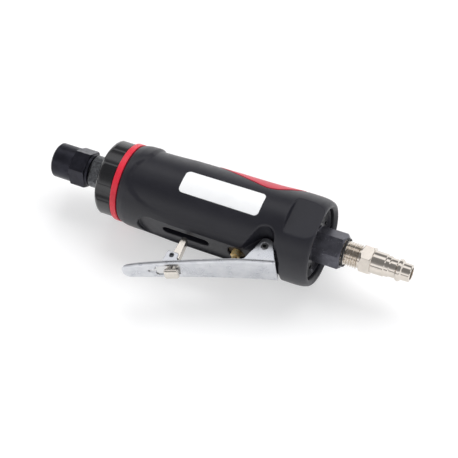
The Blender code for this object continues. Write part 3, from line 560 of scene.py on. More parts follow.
def wire(name, points, radius):
    """A round wire along a line of points, its ends closed."""
    curve = bpy.data.curves.new(name, "CURVE")
    curve.dimensions = "3D"
    curve.bevel_depth = radius * MM
    curve.bevel_resolution = 3
    curve.use_fill_caps = True
    line = curve.splines.new("POLY")
    line.points.add(len(points) - 1)
    for point, place in zip(line.points, to_world(points)):
        point.co = (*place, 1.0)
    obj = bpy.data.objects.new(name, curve)
    bpy.context.scene.collection.objects.link(obj)
    bpy.context.view_layer.update()
    graph = bpy.context.evaluated_depsgraph_get()
    mesh = bpy.data.meshes.new_from_object(obj.evaluated_get(graph))
    bpy.data.objects.remove(obj)
    mesh.name = name
    return mesh


def helix(turns, steps_per_turn):
    """(angle in radians, share of the way) along a coil."""
    total = int(turns * steps_per_turn)
    return [(2 * math.pi * i / steps_per_turn, i / total) for i in range(total + 1)]


# ------------------------------------------------------------------ distance fields
# A field is a distance in millimetres, below zero inside the solid.
def soft_max(first, second, blend):
    """Intersection of two fields, softened over a width of blend."""
    near = np.maximum(blend - np.abs(first - second), 0.0) / blend
    return np.maximum(first, second) + near * near * blend * 0.25


def soft_min(first, second, blend):
    """Union of two fields."""
    return -soft_max(-first, -second, blend)


def cut(solid, tool, blend):
    return soft_max(solid, -tool, blend)


def round_max(first, second, radius):
    """Intersection with a true round along the edge."""
    u, v = np.maximum(first + radius, 0), np.maximum(second + radius, 0)
    return np.minimum(-radius, np.maximum(first, second)) + np.sqrt(u * u + v * v)


def smooth_step(low, high, x):
    """0 at low, 1 at high; low may be the larger."""
    share = np.clip((x - low) / (high - low), 0, 1)
    return share * share * (3 - 2 * share)


def wrapped(angle):
    return ((angle + 180) % 360) - 180


def outline_field(u, v, outline):
    """Signed distance to a closed outline, below zero inside."""
    outline = np.asarray(outline, np.float32)
    u, v = np.broadcast_arrays(np.asarray(u, np.float32), np.asarray(v, np.float32))
    nearest = np.full(u.shape, 1e9, np.float32)
    inside = np.zeros(u.shape, bool)
    for i in range(len(outline)):
        here, before = outline[i], outline[i - 1]
        edge_u, edge_v = before - here
        from_u, from_v = u - here[0], v - here[1]
        along = (from_u * edge_u + from_v * edge_v) / (edge_u * edge_u + edge_v * edge_v)
        along = np.clip(along, 0, 1)
        off_u, off_v = from_u - edge_u * along, from_v - edge_v * along
        nearest = np.minimum(nearest, off_u * off_u + off_v * off_v)
        above, below, left = v >= here[1], v < before[1], edge_u * from_v > edge_v * from_u
        inside ^= (above & below & left) | (~above & ~below & ~left)
    return np.where(inside, -1.0, 1.0).astype(np.float32) * np.sqrt(nearest)


def arc(u, v, radius, start, end, steps):
    angles = [math.radians(start + (end - start) * i / steps) for i in range(steps + 1)]
    return [(u + radius * math.cos(a), v + radius * math.sin(a)) for a in angles]


def limited(move, most):
    """Each move shortened to at most this length."""
    length = np.linalg.norm(move, axis=1, keepdims=True)
    return move * np.minimum(1.0, most / np.maximum(length, 1e-9))


def carve(name, field, low, high, voxel):
    """The surface where a field is zero, its points then moved exactly onto the zero."""
    axes = [np.arange(a, b + voxel, voxel, dtype=np.float32) for a, b in zip(low, high)]
    x, y, z = axes[0][:, None, None], axes[1][None, :, None], axes[2][None, None, :]
    values = np.broadcast_to(field(x, y, z), [len(axis) for axis in axes])
    grid = openvdb.FloatGrid()
    grid.copyFromArray(np.ascontiguousarray(values.astype(np.float32)))
    points, quads = grid.convertToQuads(0.0)
    points = points.astype(float) * voxel + np.array([axis[0] for axis in axes], float)
    start = points.copy()
    reach = 0.04  # for the slope of the field
    for _ in range(3):
        distance = field(*points.T)
        slope = np.stack([
            (field(*(points + d).T) - field(*(points - d).T)) / (2 * reach)
            for d in np.eye(3) * reach], -1)
        move = (distance / np.maximum((slope * slope).sum(1), 0.15))[:, None] * slope
        points = points - limited(move, 0.5 * voxel)
        points = start + limited(points - start, 0.8 * voxel)
    return mesh_of(name, points, quads)


def smoothed(values, reach, width, **padding):
    """A Gaussian average over reach samples to each side."""
    kernel = np.exp(-0.5 * (np.arange(-reach, reach + 1) / width) ** 2)
    return np.convolve(np.pad(values, reach, **padding), kernel / kernel.sum(), mode="valid")


# ------------------------------------------------------------------ shapes around the axis
def folded(angle, corner):
    """Radians from the middle of a sixth of the turn; the sixths meet at corner."""
    return np.radians(((angle - corner) % 60) - 30)


def hex_radius(angle, across_flats, corner):
    return across_flats / 2 / np.cos(folded(angle, corner))


def hexed(across_flats, corner, low, high, blend):
    """A lathe shape with six flats between two stations."""
    def shape(station, angle, radius):
        flats = soft_min(radius, hex_radius(angle, across_flats, corner), blend)
        return np.where((station >= low) & (station <= high), flats, radius)
    return shape


def thread_ridge(station, angle, start, pitch):
    """0 in the groove of a thread, 1 on its crest."""
    phase = ((station - start) / pitch - angle / 360.0) % 1.0
    return 1 - np.abs(2 * phase - 1)


# ------------------------------------------------------------------ grip housing
# (station, outer radius)
GRIP = np.array([
    (44.0, 21.0), (46.3, 21.35), (47.3, 21.9), (50.4, 22.55), (54.5, 22.7), (60.0, 22.75),
    (68.0, 22.9), (78.0, 23.3), (100, 23.3), (128.0, 23.3), (136.0, 23.7), (143.0, 24.2),
    (150.0, 24.2), (154.0, 23.85), (156.4, 23.1), (157.7, 22.1), (160.0, 19.0),
])
GRIP_STATIONS = np.arange(44.0, 160.0, 0.1)
GRIP_RADII = smoothed(
    np.interp(GRIP_STATIONS, GRIP[:, 0], GRIP[:, 1]), reach=12, width=5.0, mode="edge")
# the sunken panel: (station, millimetres of arc from the lever side)
PANEL = [
    (56.6, 95.0), (56.8, 60.0), (56.6, 47.0), (54.6, 41.0), (51.9, 36.0), (51.0, 30.0),
    (51.6, 25.5), (54.6, 20.8), (60.0, 16.8), (67.0, 14.6), (76.0, 13.5), (85.0, 13.2),
    (96.4, 13.6), (108.0, 14.8), (119.0, 16.7), (128.0, 19.4), (136.0, 23.5), (142.0, 30.0),
    (150.0, 95.0),
]
PANEL_STATIONS = [50, 60, 74, 90, 104, 120, 134, 140]
PANEL_DEPTHS = [1.1, 1.2, 1.0, 0.72, 0.5, 0.32, 0.0, 0.0]

# plans (station, z) of the recess under the lever and of the slot in its floor
RECESS_HALF = 8.3
RECESS_PLAN = [(142.6, -RECESS_HALF), (142.6, RECESS_HALF)]
RECESS_PLAN += arc(59.4 + RECESS_HALF, 0, RECESS_HALF, 90, 270, 24)
SLOT_PLAN = arc(98.3, 0, 2.7, -90, 90, 12) + arc(76.3, 0, 2.7, 90, 270, 12)
# side view (station, y) of the pockets for the lever's cheeks
POCKET = [(142.6, -34), (142.6, -23.0), (139.4, -17.4)]
POCKET += arc(*PIVOT, 5.7, -6, 146, 24) + [(120.6, -22.4), (120.6, -34)]

# label: lowest and highest station, lowest and highest angle, corner radius
LABEL = (79.6, 125.4, 70.6, 105.0, 2.4)
LABEL_SEAT = tuple(v + room for v, room in zip(LABEL, (-0.15, 0.15, -0.4, 0.4, 0.15)))

# red inlay: (station, half its width in degrees), widest towards the rear
INLAY = np.array([
    (86, 0), (87.5, 14), (90, 25), (94, 34.5), (100, 42), (110, 51), (118, 57.2), (122, 59.5),
    (124.5, 59.5), (128, 56.5), (132, 51), (136, 43), (139, 33), (141, 19), (142, 0),
], float)
INLAY_ANGLE = 180
INLAY_LOW, INLAY_HIGH = float(INLAY[0, 0]), float(INLAY[-1, 0])
INLAY_MIDDLE = (INLAY_LOW + INLAY_HIGH) / 2
INLAY_HALF = (INLAY_HIGH - INLAY_LOW) / 2


def grip_radius(x, angle):
    """The moulding's outer radius at a station and an angle."""
    side = np.abs(angle)
    base = np.interp(x, GRIP_STATIONS, GRIP_RADII)
    # away from the lever the panel is shallower and its edge steeper
    away = smooth_step(60.0, 84.0, side)
    edge = outline_field(x, side * ARC_PER_DEGREE, PANEL)
    inside = smooth_step(1.9 - 0.7 * away, -1.9 + 0.7 * away, edge)
    depth = np.interp(x, PANEL_STATIONS, PANEL_DEPTHS) * (0.66 + 0.34 * away)
    return base - inside * depth


def label_seat_field(x, angle):
    """Distance to a rounded rectangle laid on the barrel."""
    x0, x1, a0, a1, corner = LABEL_SEAT
    u = np.abs(x - (x0 + x1) / 2) - (x1 - x0) / 2 + corner
    v = np.abs(angle - (a0 + a1) / 2) * ARC_PER_DEGREE - (a1 - a0) / 2 * ARC_PER_DEGREE + corner
    corner_distance = np.sqrt(np.maximum(u, 0) ** 2 + np.maximum(v, 0) ** 2)
    return np.minimum(np.maximum(u, v), 0) + corner_distance - corner


def inlay_seat_field(x, angle, grow):
    """Distance to the inlay's outline, grown on every side."""
    station = (x - INLAY_MIDDLE) * INLAY_HALF / (INLAY_HALF + grow) + INLAY_MIDDLE
    width = np.interp(station, INLAY[:, 0], INLAY[:, 1]) + grow * 1.1
    off = np.abs(wrapped(angle - INLAY_ANGLE))
    ends = np.maximum(INLAY_LOW - grow - x, x - (INLAY_HIGH + grow))
    return np.maximum((off - width) * ARC_PER_DEGREE * 0.8, ends)


def grip_field(x, y, z):
    radius = np.sqrt(y * y + z * z)
    angle = np.degrees(np.arctan2(z, -y))
    solid = (radius - grip_radius(x, angle)) * 0.97
    # flat facets on both sides of the rear
    tilt = math.radians(88.0)
    facet = 21.55 + 3.0 * smooth_step(141.4, 139.6, x)
    for side in (1, -1):
        flat = -y * math.cos(tilt) + side * z * math.sin(tilt) - facet
        solid = soft_max(solid, flat, 0.4)
    solid = soft_max(solid, 46.3 - x, 0.5)
    solid = soft_max(solid, x - 157.6, 0.8)
    # recess under the lever with its round front end, the slot and the pockets beside it
    recess = soft_max(outline_field(x, z, RECESS_PLAN), y + 20.6, 0.8)
    solid = cut(solid, recess, 0.5)
    slot = soft_max(outline_field(x, z, SLOT_PLAN), y + 17.1, 0.4)
    solid = cut(solid, slot, 0.25)
    pocket = soft_max(outline_field(x, y, POCKET), 8.1 - np.abs(z), 0.5)
    solid = cut(solid, pocket, 0.8)
    # rear bowl around the inlet boss
    bowl = radius - 19.5 - 1.3 * smooth_step(155.6, 157.9, x)
    bowl = soft_max(bowl, 140.6 - x, 0.6)
    boss = soft_max(radius - 11.4, x - 151.2, 0.4)
    solid = cut(solid, cut(bowl, boss, 0.4), 0.5)
    # seats of the label, 0.3 deep, and of the red inlay, 0.7 deep
    surface = grip_radius(x, angle)
    label = np.maximum(label_seat_field(x, angle), surface - 0.3 - radius)
    solid = cut(solid, label, 0.15)
    inlay = np.maximum(inlay_seat_field(x, angle, grow=0.7), surface - 0.7 - radius)
    return cut(solid, inlay, 0.3)


grip_mesh = carve("grip_housing_shell", grip_field, (45.2, -25.4, -25.4), (158.8, 25.4, 25.4),
                  voxel=0.42)
# bore of the valve: (y, radius)
VALVE_BORE = [
    (-26.0, 0), (-26.0, 5.6), (-20.6, 5.6), (-20.3, 5.25), (-8.0, 5.25), (-8.0, 4.7),
    (9.6, 4.7), (9.6, 0),
]
grip_mesh = drill(grip_mesh, [
    rod_cutter(radius=16.55, low=40.0, high=103.9, steps=96),
    rod_cutter(radius=3.6, low=118.0, high=150.0, steps=32),
    rod_cutter(radius=8.15, low=142.2, high=165.0, steps=64),
    rod_cutter(radius=1.85, low=-12.0, high=12.0, steps=40, axis="Z", at=(*PIVOT, 0)),
    lathe("cutter", VALVE_BORE, steps=64, axis="Y", at=(VALVE_X, 0, 0)),
])
finish("grip_housing_moulding", grip_mesh, "grip_black", "grip_housing",
       sharp=48, weld=False)


# ------------------------------------------------------------------ label and inlay
def on_grip(points, height):
    """Points of (station, angle) put at a height over the moulding's surface."""
    radius = grip_radius(points[:, 0], wrapped(points[:, 1])) + height
    turn = np.radians(points[:, 1])
    return np.stack([points[:, 0], -radius * np.cos(turn), radius * np.sin(turn)], -1)


def plate_on_grip(name, outline, proud, thick, look, node):
    """A plate over a convex outline of (station, angle) points, with a rounded rim.

    It follows the moulding's surface, its face standing proud of it.
    """
    ring_gap, under_rings = 0.7, 4
    outline = np.array(outline, float)
    centre = outline.mean(0)
    reach = np.linalg.norm((outline - centre) * [1, ARC_PER_DEGREE], axis=1)
    inner_rings = max(6, int(reach.max() / ring_gap))

    def shrunk(inset):
        return centre + (outline - centre) * np.maximum(0.0, 1 - inset / reach)[:, None]

    # rim inwards: (inset, height)
    rim = [(0.0, proud - thick), (0.0, proud - 0.16), (0.05, proud - 0.06), (0.17, proud)]
    points = [on_grip(shrunk(inset), height) for inset, height in rim]
    base = shrunk(rim[-1][0])
    for k in range(1, inner_rings):
        points.append(on_grip(centre + (base - centre) * (1 - k / inner_rings), proud))
    rings = len(points)
    points.append(on_grip(centre[None], proud))
    for k in range(under_rings):
        ring = centre + (outline - centre) * (1 - k / under_rings)
        points.append(on_grip(ring, proud - thick))
    points.append(on_grip(centre[None], proud - thick))

    count = len(outline)

    def band(first, second):
        """The quads between two rings, each given by its first point."""
        return [(first + j, first + (j + 1) % count, second + (j + 1) % count, second + j)
                for j in range(count)]

    top = rings * count
    under = top + 1
    bottom = under + under_rings * count
    faces = []
    for i in range(rings - 1):
        faces += band(i * count, (i + 1) * count)
    for k in range(under_rings - 1):
        faces += band(under + (k + 1) * count, under + k * count)
    last, last_under = top - count, bottom - count
    faces += [(last + j, last + (j + 1) % count, top) for j in range(count)]
    faces += [(bottom, last_under + (j + 1) % count, last_under + j) for j in range(count)]
    mesh = bpy.data.meshes.new(name)
    mesh.from_pydata(to_world(np.concatenate(points)).tolist(), [], faces)
    weld_mesh(mesh, recalc=True)
    finish(name, mesh, look, node, sharp=50, weld=False)


def rounded_rect(x0, x1, a0, a1, corner, corner_steps=8, side_steps=24):
    """Outline of (station, angle); the corner radius is in millimetres."""
    degrees = corner / ARC_PER_DEGREE
    centres = (
        (x1 - corner, a1 - degrees), (x0 + corner, a1 - degrees),
        (x0 + corner, a0 + degrees), (x1 - corner, a0 + degrees),
    )
    corners = []
    for k, (x, angle) in enumerate(centres):
        turns = [math.radians(90 * k + 90 * i / corner_steps) for i in range(corner_steps + 1)]
        corners.append(
            [(x + corner * math.cos(t), angle + degrees * math.sin(t)) for t in turns])
    out = []
    for k in range(4):
        out += corners[k]
        start, end = np.array(corners[k][-1]), np.array(corners[(k + 1) % 4][0])
        out += [tuple(start + (end - start) * i / side_steps) for i in range(1, side_steps)]
    return out


def inlay_outline(steps=9):
    half = []
    for (x0, a0), (x1, a1) in zip(INLAY[:-1], INLAY[1:]):
        half += [(x0 + (x1 - x0) * i / steps, a0 + (a1 - a0) * i / steps) for i in range(steps)]
    half.append(tuple(INLAY[-1]))
    mirrored = [(x, INLAY_ANGLE - a) for x, a in reversed(half[1:-1])]
    return [(x, INLAY_ANGLE + a) for x, a in half] + mirrored


plate_on_grip("label_plate_blank", rounded_rect(*LABEL), proud=0.06, thick=0.34,
              look="label_white", node="label_plate")
plate_on_grip("red_inlay_panel", inlay_outline(), proud=0.22, thick=0.8,
              look="inlay_red", node="red_inlay")


# ------------------------------------------------------------------ front cap
# The profiles of turned pieces are (station, radius[, corner radius]).
FLUTE_ANGLE = 32.0  # the middle of the first of six flutes
FLUTE_OFFSET = 40.1  # from the axis to the centre of a flute
FLUTE_RADIUS = 20.0


def fluted(station, angle, radius):
    turn = folded(angle, FLUTE_ANGLE - 30)
    across = FLUTE_OFFSET * np.sin(np.abs(turn))
    depth = np.sqrt(np.maximum(FLUTE_RADIUS ** 2 - across * across, 0.0))
    flute = np.where(across < FLUTE_RADIUS, FLUTE_OFFSET * np.cos(turn) - depth, NO_CUT)
    return np.where(radius > 17.0, soft_min(radius, flute, 0.45), radius)


CAP = [
    (32.2, 9.5), (31.8, 10.1, 0.2), (31.8, 18.4, 1.2), (32.4, 19.8, 1.2), (33.4, 20.8, 1.2),
    (34.6, 21.3, 1.2), (42.0, 21.3, 0.15), (42.3, 21.0, 0.15), (42.3, 19.5), (33.9, 19.5),
    (33.9, 9.5),
]
cap_profile = dense(soften(CAP, corner=0.15, steps=5, closed=True), step=0.8, closed=True)
cap_mesh = lathe("front_cap_fluted", cap_profile, steps=360, shape=fluted, start=FLUTE_ANGLE)
finish("front_cap_fluted", cap_mesh, "gloss_black", "front_cap", sharp=50)


# ------------------------------------------------------------------ red ring
RING = [(42.6, 19.5), (42.6, 21.9, 0.45), (46.0, 21.9, 0.45), (46.0, 19.5)]
ring_profile = dense(soften(RING, corner=0.1, steps=5, closed=True), step=0.6, closed=True)
finish("red_ring_band", lathe("red_ring_band", ring_profile, steps=256), "signal_red",
       "red_ring", sharp=50)


# ------------------------------------------------------------------ collet nut
NUT_CORNER = 45.0  # angle of a corner of the hexagon
NUT = [
    (-1.5, 4.6, 0.15), (-1.5, 8.75, 0.35), (-0.6, 9.7, 0.5), (10.3, 9.7, 0.12),
    (10.9, 11.1, 0.2), (19.0, 11.1, 0.15), (19.55, 10.6, 0.15), (19.7, 9.1, 0.15),
    (20.9, 8.75, 0.15), (21.0, 7.15, 0.2), (5.2, 7.15), (3.3, 6.35), (0.5, 4.6),
]
nut_profile = dense(soften(NUT, corner=0.1, steps=4, closed=True), step=0.3, closed=True)
nut_hex = hexed(across_flats=19.1, corner=NUT_CORNER, low=10.4, high=19.72, blend=0.12)
nut_mesh = lathe("collet_nut_hex", nut_profile, steps=240, shape=nut_hex, start=NUT_CORNER)
finish("collet_nut_hex", nut_mesh, "black_oxide", "collet_nut",
       body="nut", sharp=42)


# ------------------------------------------------------------------ rotor and spindle
FLAT_ANGLE = 55.0  # the first of two opposite flats
FLAT_DISTANCE = 6.8  # from the axis to a flat


def spindle_shape(station, angle, radius):
    """A thread on the nose and two flats behind it."""
    ridge = thread_ridge(station, angle, start=6.2, pitch=1.0)
    thread = 6.2 + 0.62 * np.minimum(1.0, 1.35 * ridge)
    nose = (station > 6.3) & (station < 21.4) & (radius > 6.3)
    radius = np.where(nose, np.minimum(radius, thread), radius)
    for side in (FLAT_ANGLE, FLAT_ANGLE + 180):
        facing = np.cos(np.radians(wrapped(angle - side)))
        flat = np.where(facing > 0.2, FLAT_DISTANCE / np.maximum(facing, 0.2), NO_CUT)
        collar = (station > 21.5) & (station < 33.5) & (radius > 6.9)
        radius = np.where(collar, soft_min(radius, flat, 0.15), radius)
    return radius


def spindle_step(station, radius):
    """Fine along the thread, medium along the flats, coarse elsewhere."""
    if radius > 6.3 and 6.0 < station < 21.5:
        return 0.14
    return 0.6 if radius > 6.3 and 20 < station < 33.5 else 4.0


SPINDLE_SOCKET = [(27.5, 0.0), (26.0, 3.2), (14.0, 3.2), (14.0, 4.4)]
SPINDLE = [
    (5.6, 6.05), (5.6, 6.25, 0.05), (6.2, 6.85, 0.05), (21.5, 6.85), (21.55, 6.9),
    (21.6, 8.6, 0.2), (21.95, 9.0, 0.2), (33.4, 9.0, 0.1), (33.4, 6.4), (45.0, 6.4, 0.2),
    (45.0, 5.0), (57.2, 5.0), (57.2, 11.6, 0.3), (93.2, 11.6, 0.3), (93.2, 3.95),
    (100.8, 3.95, 0.3), (100.8, 0.8), (99.5, 0.0),
]
ROTOR_RADIUS = 11.6
VANE_COUNT = 5


def slot_cutter(turn_degrees):
    """A box that cuts one vane slot into the rotor, turned about the axis."""
    sides = ((56.2, 94.2), (-14, -ROTOR_RADIUS + 5.4), (-0.72, 0.72))
    turn = math.radians(turn_degrees)
    points = [
        (x, y * math.cos(turn) - z * math.sin(turn), y * math.sin(turn) + z * math.cos(turn))
        for x in sides[0] for y in sides[1] for z in sides[2]]
    quads = [(0, 1, 3, 2), (4, 6, 7, 5), (0, 4, 5, 1), (2, 3, 7, 6), (0, 2, 6, 4), (1, 5, 7, 3)]
    return mesh_of("cutter", np.array(points), quads)


spindle_profile = dense(SPINDLE_SOCKET + soften(SPINDLE, corner=0.0), step=spindle_step)
spindle_mesh = lathe("rotor_and_spindle", spindle_profile, steps=144, shape=spindle_shape,
                     start=FLAT_ANGLE)
weld_mesh(spindle_mesh)  # the poles, so that the slots cut a closed solid
slot_cutters = [slot_cutter(360 // VANE_COUNT * k + 15) for k in range(VANE_COUNT)]
finish("rotor_and_spindle", drill(spindle_mesh, slot_cutters), "spindle", "rotor_spindle",
       body="spindle", sharp=35, weld=False)


# ------------------------------------------------------------------ throttle lever
# (station, y) along the outer face of the web
WEB = [
    (65.4, -52.3), (68.6, -51.0), (74, -48.6), (87, -43.0), (102, -37.1), (112, -33.2),
    (121, -29.9), (127, -27.9), (134, -25.8), (141.2, -23.7),
]
WEB_END_SLOPE = 0.30
SHEET = 1.2  # thickness of the metal

# side view (station, y)
LEVER_SIDE = [(60.0, -60.0), (147.0, -60.0), (141.6, -23.9), (137.3, -15.8)]
LEVER_SIDE += arc(*PIVOT, 4.75, 8, 125, 20)
LEVER_SIDE += [
    (125.0, -26.4), (124.0, -27.2), (120.4, -28.25), (111.4, -31.55), (101.4, -35.45),
    (92.6, -39.0), (91.6, -38.0), (91.5, -35.6), (91.0, -35.1), (85.4, -35.1), (84.9, -35.6),
    (84.8, -42.0), (73.35, -47.0), (68.0, -49.4), (65.4, -50.6), (64.7, -51.2), (60.6, -51.6),
]
# half the plan (station, z); the front end is round
LEVER_HALF = [
    (64.5, 1.8), (65.0, 3.4), (66.1, 4.9), (67.8, 5.9), (70.5, 6.5), (76, 7.1), (87, 7.7),
    (102, 8.5), (116, 9.3), (121, 9.6), (141.9, 9.6),
]
LEVER_PLAN = [(64.4, 0.0)] + LEVER_HALF + [(x, -z) for x, z in reversed(LEVER_HALF)]
# the hollow runs out through the rear end
HOLLOW_PLAN = [(x if x < 141 else 160, z) for x, z in LEVER_PLAN]
# plan of the opening in the web around the latch
OPENING = [(93.4, -3.8), (93.4, 3.8), (92.8, 4.4), (82.4, 4.4), (81.4, 3.4), (81.4, 1.4)]
OPENING += arc(79.0, 0, 1.4, 90, 270, 10)
OPENING += [(81.4, -1.4), (81.4, -3.4), (82.4, -4.4), (92.8, -4.4)]


def web_curve():
    """The smoothed web: its stations, its y and its slope."""
    x = np.arange(50.0, 150.0, 0.25)
    y = np.interp(x, [point[0] for point in WEB], [point[1] for point in WEB])
    for (end_x, end_y), beyond in ((WEB[0], x < WEB[0][0]), (WEB[-1], x > WEB[-1][0])):
        y[beyond] = end_y + (x[beyond] - end_x) * WEB_END_SLOPE
    y = smoothed(y, reach=24, width=6.0, mode="reflect", reflect_type="odd")
    return x, y, np.gradient(y, x)


WEB_X, WEB_Y, WEB_SLOPE = web_curve()


def lever_field(x, y, z):
    slope = np.interp(x, WEB_X, WEB_SLOPE)
    depth = (y - np.interp(x, WEB_X, WEB_Y)) / np.sqrt(1 + slope * slope)
    outer = round_max(-depth, outline_field(x, z, LEVER_PLAN), 1.5)
    inner = round_max(SHEET - depth, outline_field(x, z, HOLLOW_PLAN) + SHEET, 0.6)
    solid = cut(outer, inner, 0.3)
    solid = soft_max(solid, outline_field(x, y, LEVER_SIDE), 0.3)
    opening = np.maximum(outline_field(x, z, OPENING), y + 38.9)
    solid = cut(solid, opening, 0.25)
    for (pin_x, pin_y), radius in ((PIVOT, 1.88), (LATCH, 1.18)):
        hole = np.sqrt((x - pin_x) ** 2 + (y - pin_y) ** 2) - radius
        solid = cut(solid, hole, 0.2)
    return solid


lever_mesh = carve("throttle_lever_sheet", lever_field, (60.0, -54.0, -10.6), (143.0, -9.8, 10.6),
                   voxel=0.27)
finish("throttle_lever_sheet", lever_mesh, "satin_chrome", "throttle_lever",
       body="lever", sharp=60, weld=False)


# ------------------------------------------------------------------ pins
def roll_pin_field(x, y, z):
    """A tube with a slit along it, its ends chamfered."""
    u, v = x - PIVOT[0], y - PIVOT[1]
    radius = np.sqrt(u * u + v * v)
    wall = np.maximum(radius - 1.8, 1.05 - radius)
    slit = np.maximum(np.abs(u * 0.42 + v * 0.91) - 0.22, -(u * 0.91 - v * 0.42))
    ends = np.abs(z) - 9.7 + 0.35 * np.maximum(radius - 1.4, 0)
    return soft_max(cut(wall, slit, 0.12), ends, 0.2)


roll_pin_mesh = carve("lever_roll_pin", roll_pin_field, (130.0, -18.4, -10.2),
                      (134.5, -13.9, 10.2), voxel=0.16)
finish("lever_roll_pin", roll_pin_mesh, "pin", "lever_pin", sharp=50, weld=False)

# half of the latch's pin, from one dished end to its middle: (z, radius)
LATCH_PIN_END = [(-7.2, 0.0), (-7.2, 0.6), (-7.8, 0.68), (-7.9, 0.85), (-7.65, 1.1)]
latch_pin_profile = LATCH_PIN_END + [(-z, radius) for z, radius in reversed(LATCH_PIN_END)]
latch_pin_mesh = lathe("latch_hinge_pin", latch_pin_profile, steps=40, axis="Z", at=(*LATCH, 0))
finish("latch_hinge_pin", latch_pin_mesh, "spindle", "latch_pin", body="lever")


# ------------------------------------------------------------------ lock-off latch
# side view of the arm: (x, y) from the hinge
LATCH_ARM = [
    (-2.3, -1.2), (2.2, -1.4), (2.4, 1.6), (1.5, 14.0), (0.9, 15.1), (-0.9, 15.1),
    (-1.7, 14.1), (-2.4, 1.6),
]


def latch_field(x, y, z):
    u, v, off = x - LATCH[0], y - LATCH[1], np.abs(z)
    radius = np.sqrt(u * u + v * v)
    plates = soft_max(outline_field(u, v, LATCH_ARM), off - 2.2, 0.35)
    gap = np.maximum(np.maximum(u - 1.25, 1.9 - v), off - 1.15)
    plates = cut(plates, gap, 0.25)
    hub = soft_max(radius - 2.45, off - 2.9, 0.3)
    neck = np.maximum(np.abs(u) - 1.5 - 0.02 * np.abs(v), off - 1.9)
    neck = soft_max(neck, np.maximum(v + 0.5, -8.0 - v), 0.3)
    # the finger pad is tilted
    along, below = 0.930 * u + 0.3665 * v, 0.930 * v - 0.3665 * u
    pad = round_max(np.abs(along + 0.7) - 3.9, off - 3.7, 1.5)
    pad = round_max(pad, np.abs(below + 6.8) - 1.4, 1.1)
    solid = soft_min(plates, hub, 0.5)
    solid = soft_min(solid, neck, 0.6)
    solid = soft_min(solid, pad, 0.8)
    return cut(solid, radius - 1.16, 0.15)


latch_mesh = carve("lock_off_latch_folded", latch_field, (82.6, -47.4, -4.2), (94.6, -21.6, 4.2),
                   voxel=0.15)
finish("lock_off_latch_folded", latch_mesh, "latch", "lock_off_latch",
       body="latch", sharp=55, weld=False)


# ------------------------------------------------------------------ springs
# the latch's: a coil about its pin and a straight tail
LATCH_COIL = 1.75
coil = [
    (LATCH[0] + LATCH_COIL * math.cos(a), LATCH[1] + LATCH_COIL * math.sin(a), 3.4 + 2.2 * share)
    for a, share in helix(turns=3.5, steps_per_turn=36)]
end_x, end_y, end_z = coil[-1]
coil += [(end_x + 1.2 * t, end_y - 3.6 * t, end_z) for t in (0.25, 0.5, 0.75, 1.0)]
finish("latch_return_spring", wire("latch_return_spring", coil, radius=0.28), "spring",
       "latch_spring", body="lever", sharp=60)

# the valve's: its coils lie closer at both ends
VALVE_COIL = 3.2
SPRING_START, SPRING_END = -5.3, 8.9  # y
coil = []
for a, share in helix(turns=5, steps_per_turn=40):
    share -= 0.06 * math.sin(2 * math.pi * share)
    spring_y = SPRING_START + (SPRING_END - SPRING_START) * share
    coil.append((VALVE_X + VALVE_COIL * math.cos(a), spring_y, VALVE_COIL * math.sin(a)))
spring = finish("valve_return_spring", wire("valve_return_spring", coil, radius=0.4), "spring",
                "valve_spring", body=None, sharp=60)
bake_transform(spring)


# ------------------------------------------------------------------ throttle valve
# the profiles are (y, radius[, corner radius])
STEM = [
    (-24.9, 1.35, 0.3), (-23.0, 1.35, 0.3), (-22.6, 2.6, 0.2), (-13.2, 2.6, 0.2),
    (-12.9, 1.5), (-8.3, 1.5), (-8.3, 0),
]
dome_turns = [math.radians(a) for a in range(0, 146, 6)]
stem_profile = [(-27.2 - 2.39 * math.cos(turn), 2.45 * math.sin(turn)) for turn in dome_turns]
stem_profile += soften(STEM, corner=0.05, steps=4)
stem_mesh = lathe("valve_stem_domed", stem_profile, steps=72, axis="Y", at=(VALVE_X, 0, 0))
# the domed head takes the lightened brass: painted light
finish("valve_stem_domed", stem_mesh, "brass_head", "valve_stem", body="valve")

BUSH = [
    (-19.5, 2.68), (-19.5, 4.7, 0.2), (-19.2, 4.98, 0.15), (-8.35, 4.98, 0.1), (-8.35, 3.1),
    (-12.9, 3.1), (-13.4, 2.68), (-16.0, 2.68), (-16.0, 3.6), (-18.0, 3.6), (-18.0, 2.68),
]
bush_mesh = lathe("valve_bush_turned", soften(BUSH, corner=0.0, closed=True), steps=72,
                  axis="Y", at=(VALVE_X, 0, 0))
cross_hole = rod_cutter(radius=1.2, low=108.0, high=126.0, steps=24, at=(0, -10.6, 0))
# the bush takes the darkened brass: painted shade for the bore around the stem
finish("valve_bush_turned", drill(bush_mesh, [cross_hole]), "shaded_brass_bush", "valve_bush",
       weld=False)


# ------------------------------------------------------------------ inlet bushing
BUSHING_CORNER = 38.0  # angle of a corner of the hexagon
BUSHING = [
    (142.6, 4.4), (142.6, 7.5, 0.15), (143.1, 7.9, 0.1), (154.4, 7.9), (154.4, 9.5, 0.2),
    (154.8, 9.9, 0.2), (168.6, 9.9, 0.2), (169.8, 8.5, 0.3), (169.8, 7.6, 0.2),
    (169.0, 6.95), (158.0, 6.95), (158.0, 4.4),
]
bushing_profile = dense(
    soften(BUSHING, corner=0.05, steps=4, closed=True), step=0.35, closed=True)
bushing_hex = hexed(across_flats=17.0, corner=BUSHING_CORNER, low=154.5, high=170.0, blend=0.25)
bushing_mesh = lathe("inlet_bushing_hex", bushing_profile, steps=240, shape=bushing_hex,
                     start=BUSHING_CORNER)
finish("inlet_bushing_hex", bushing_mesh, "bushing", "inlet_bushing", sharp=42)


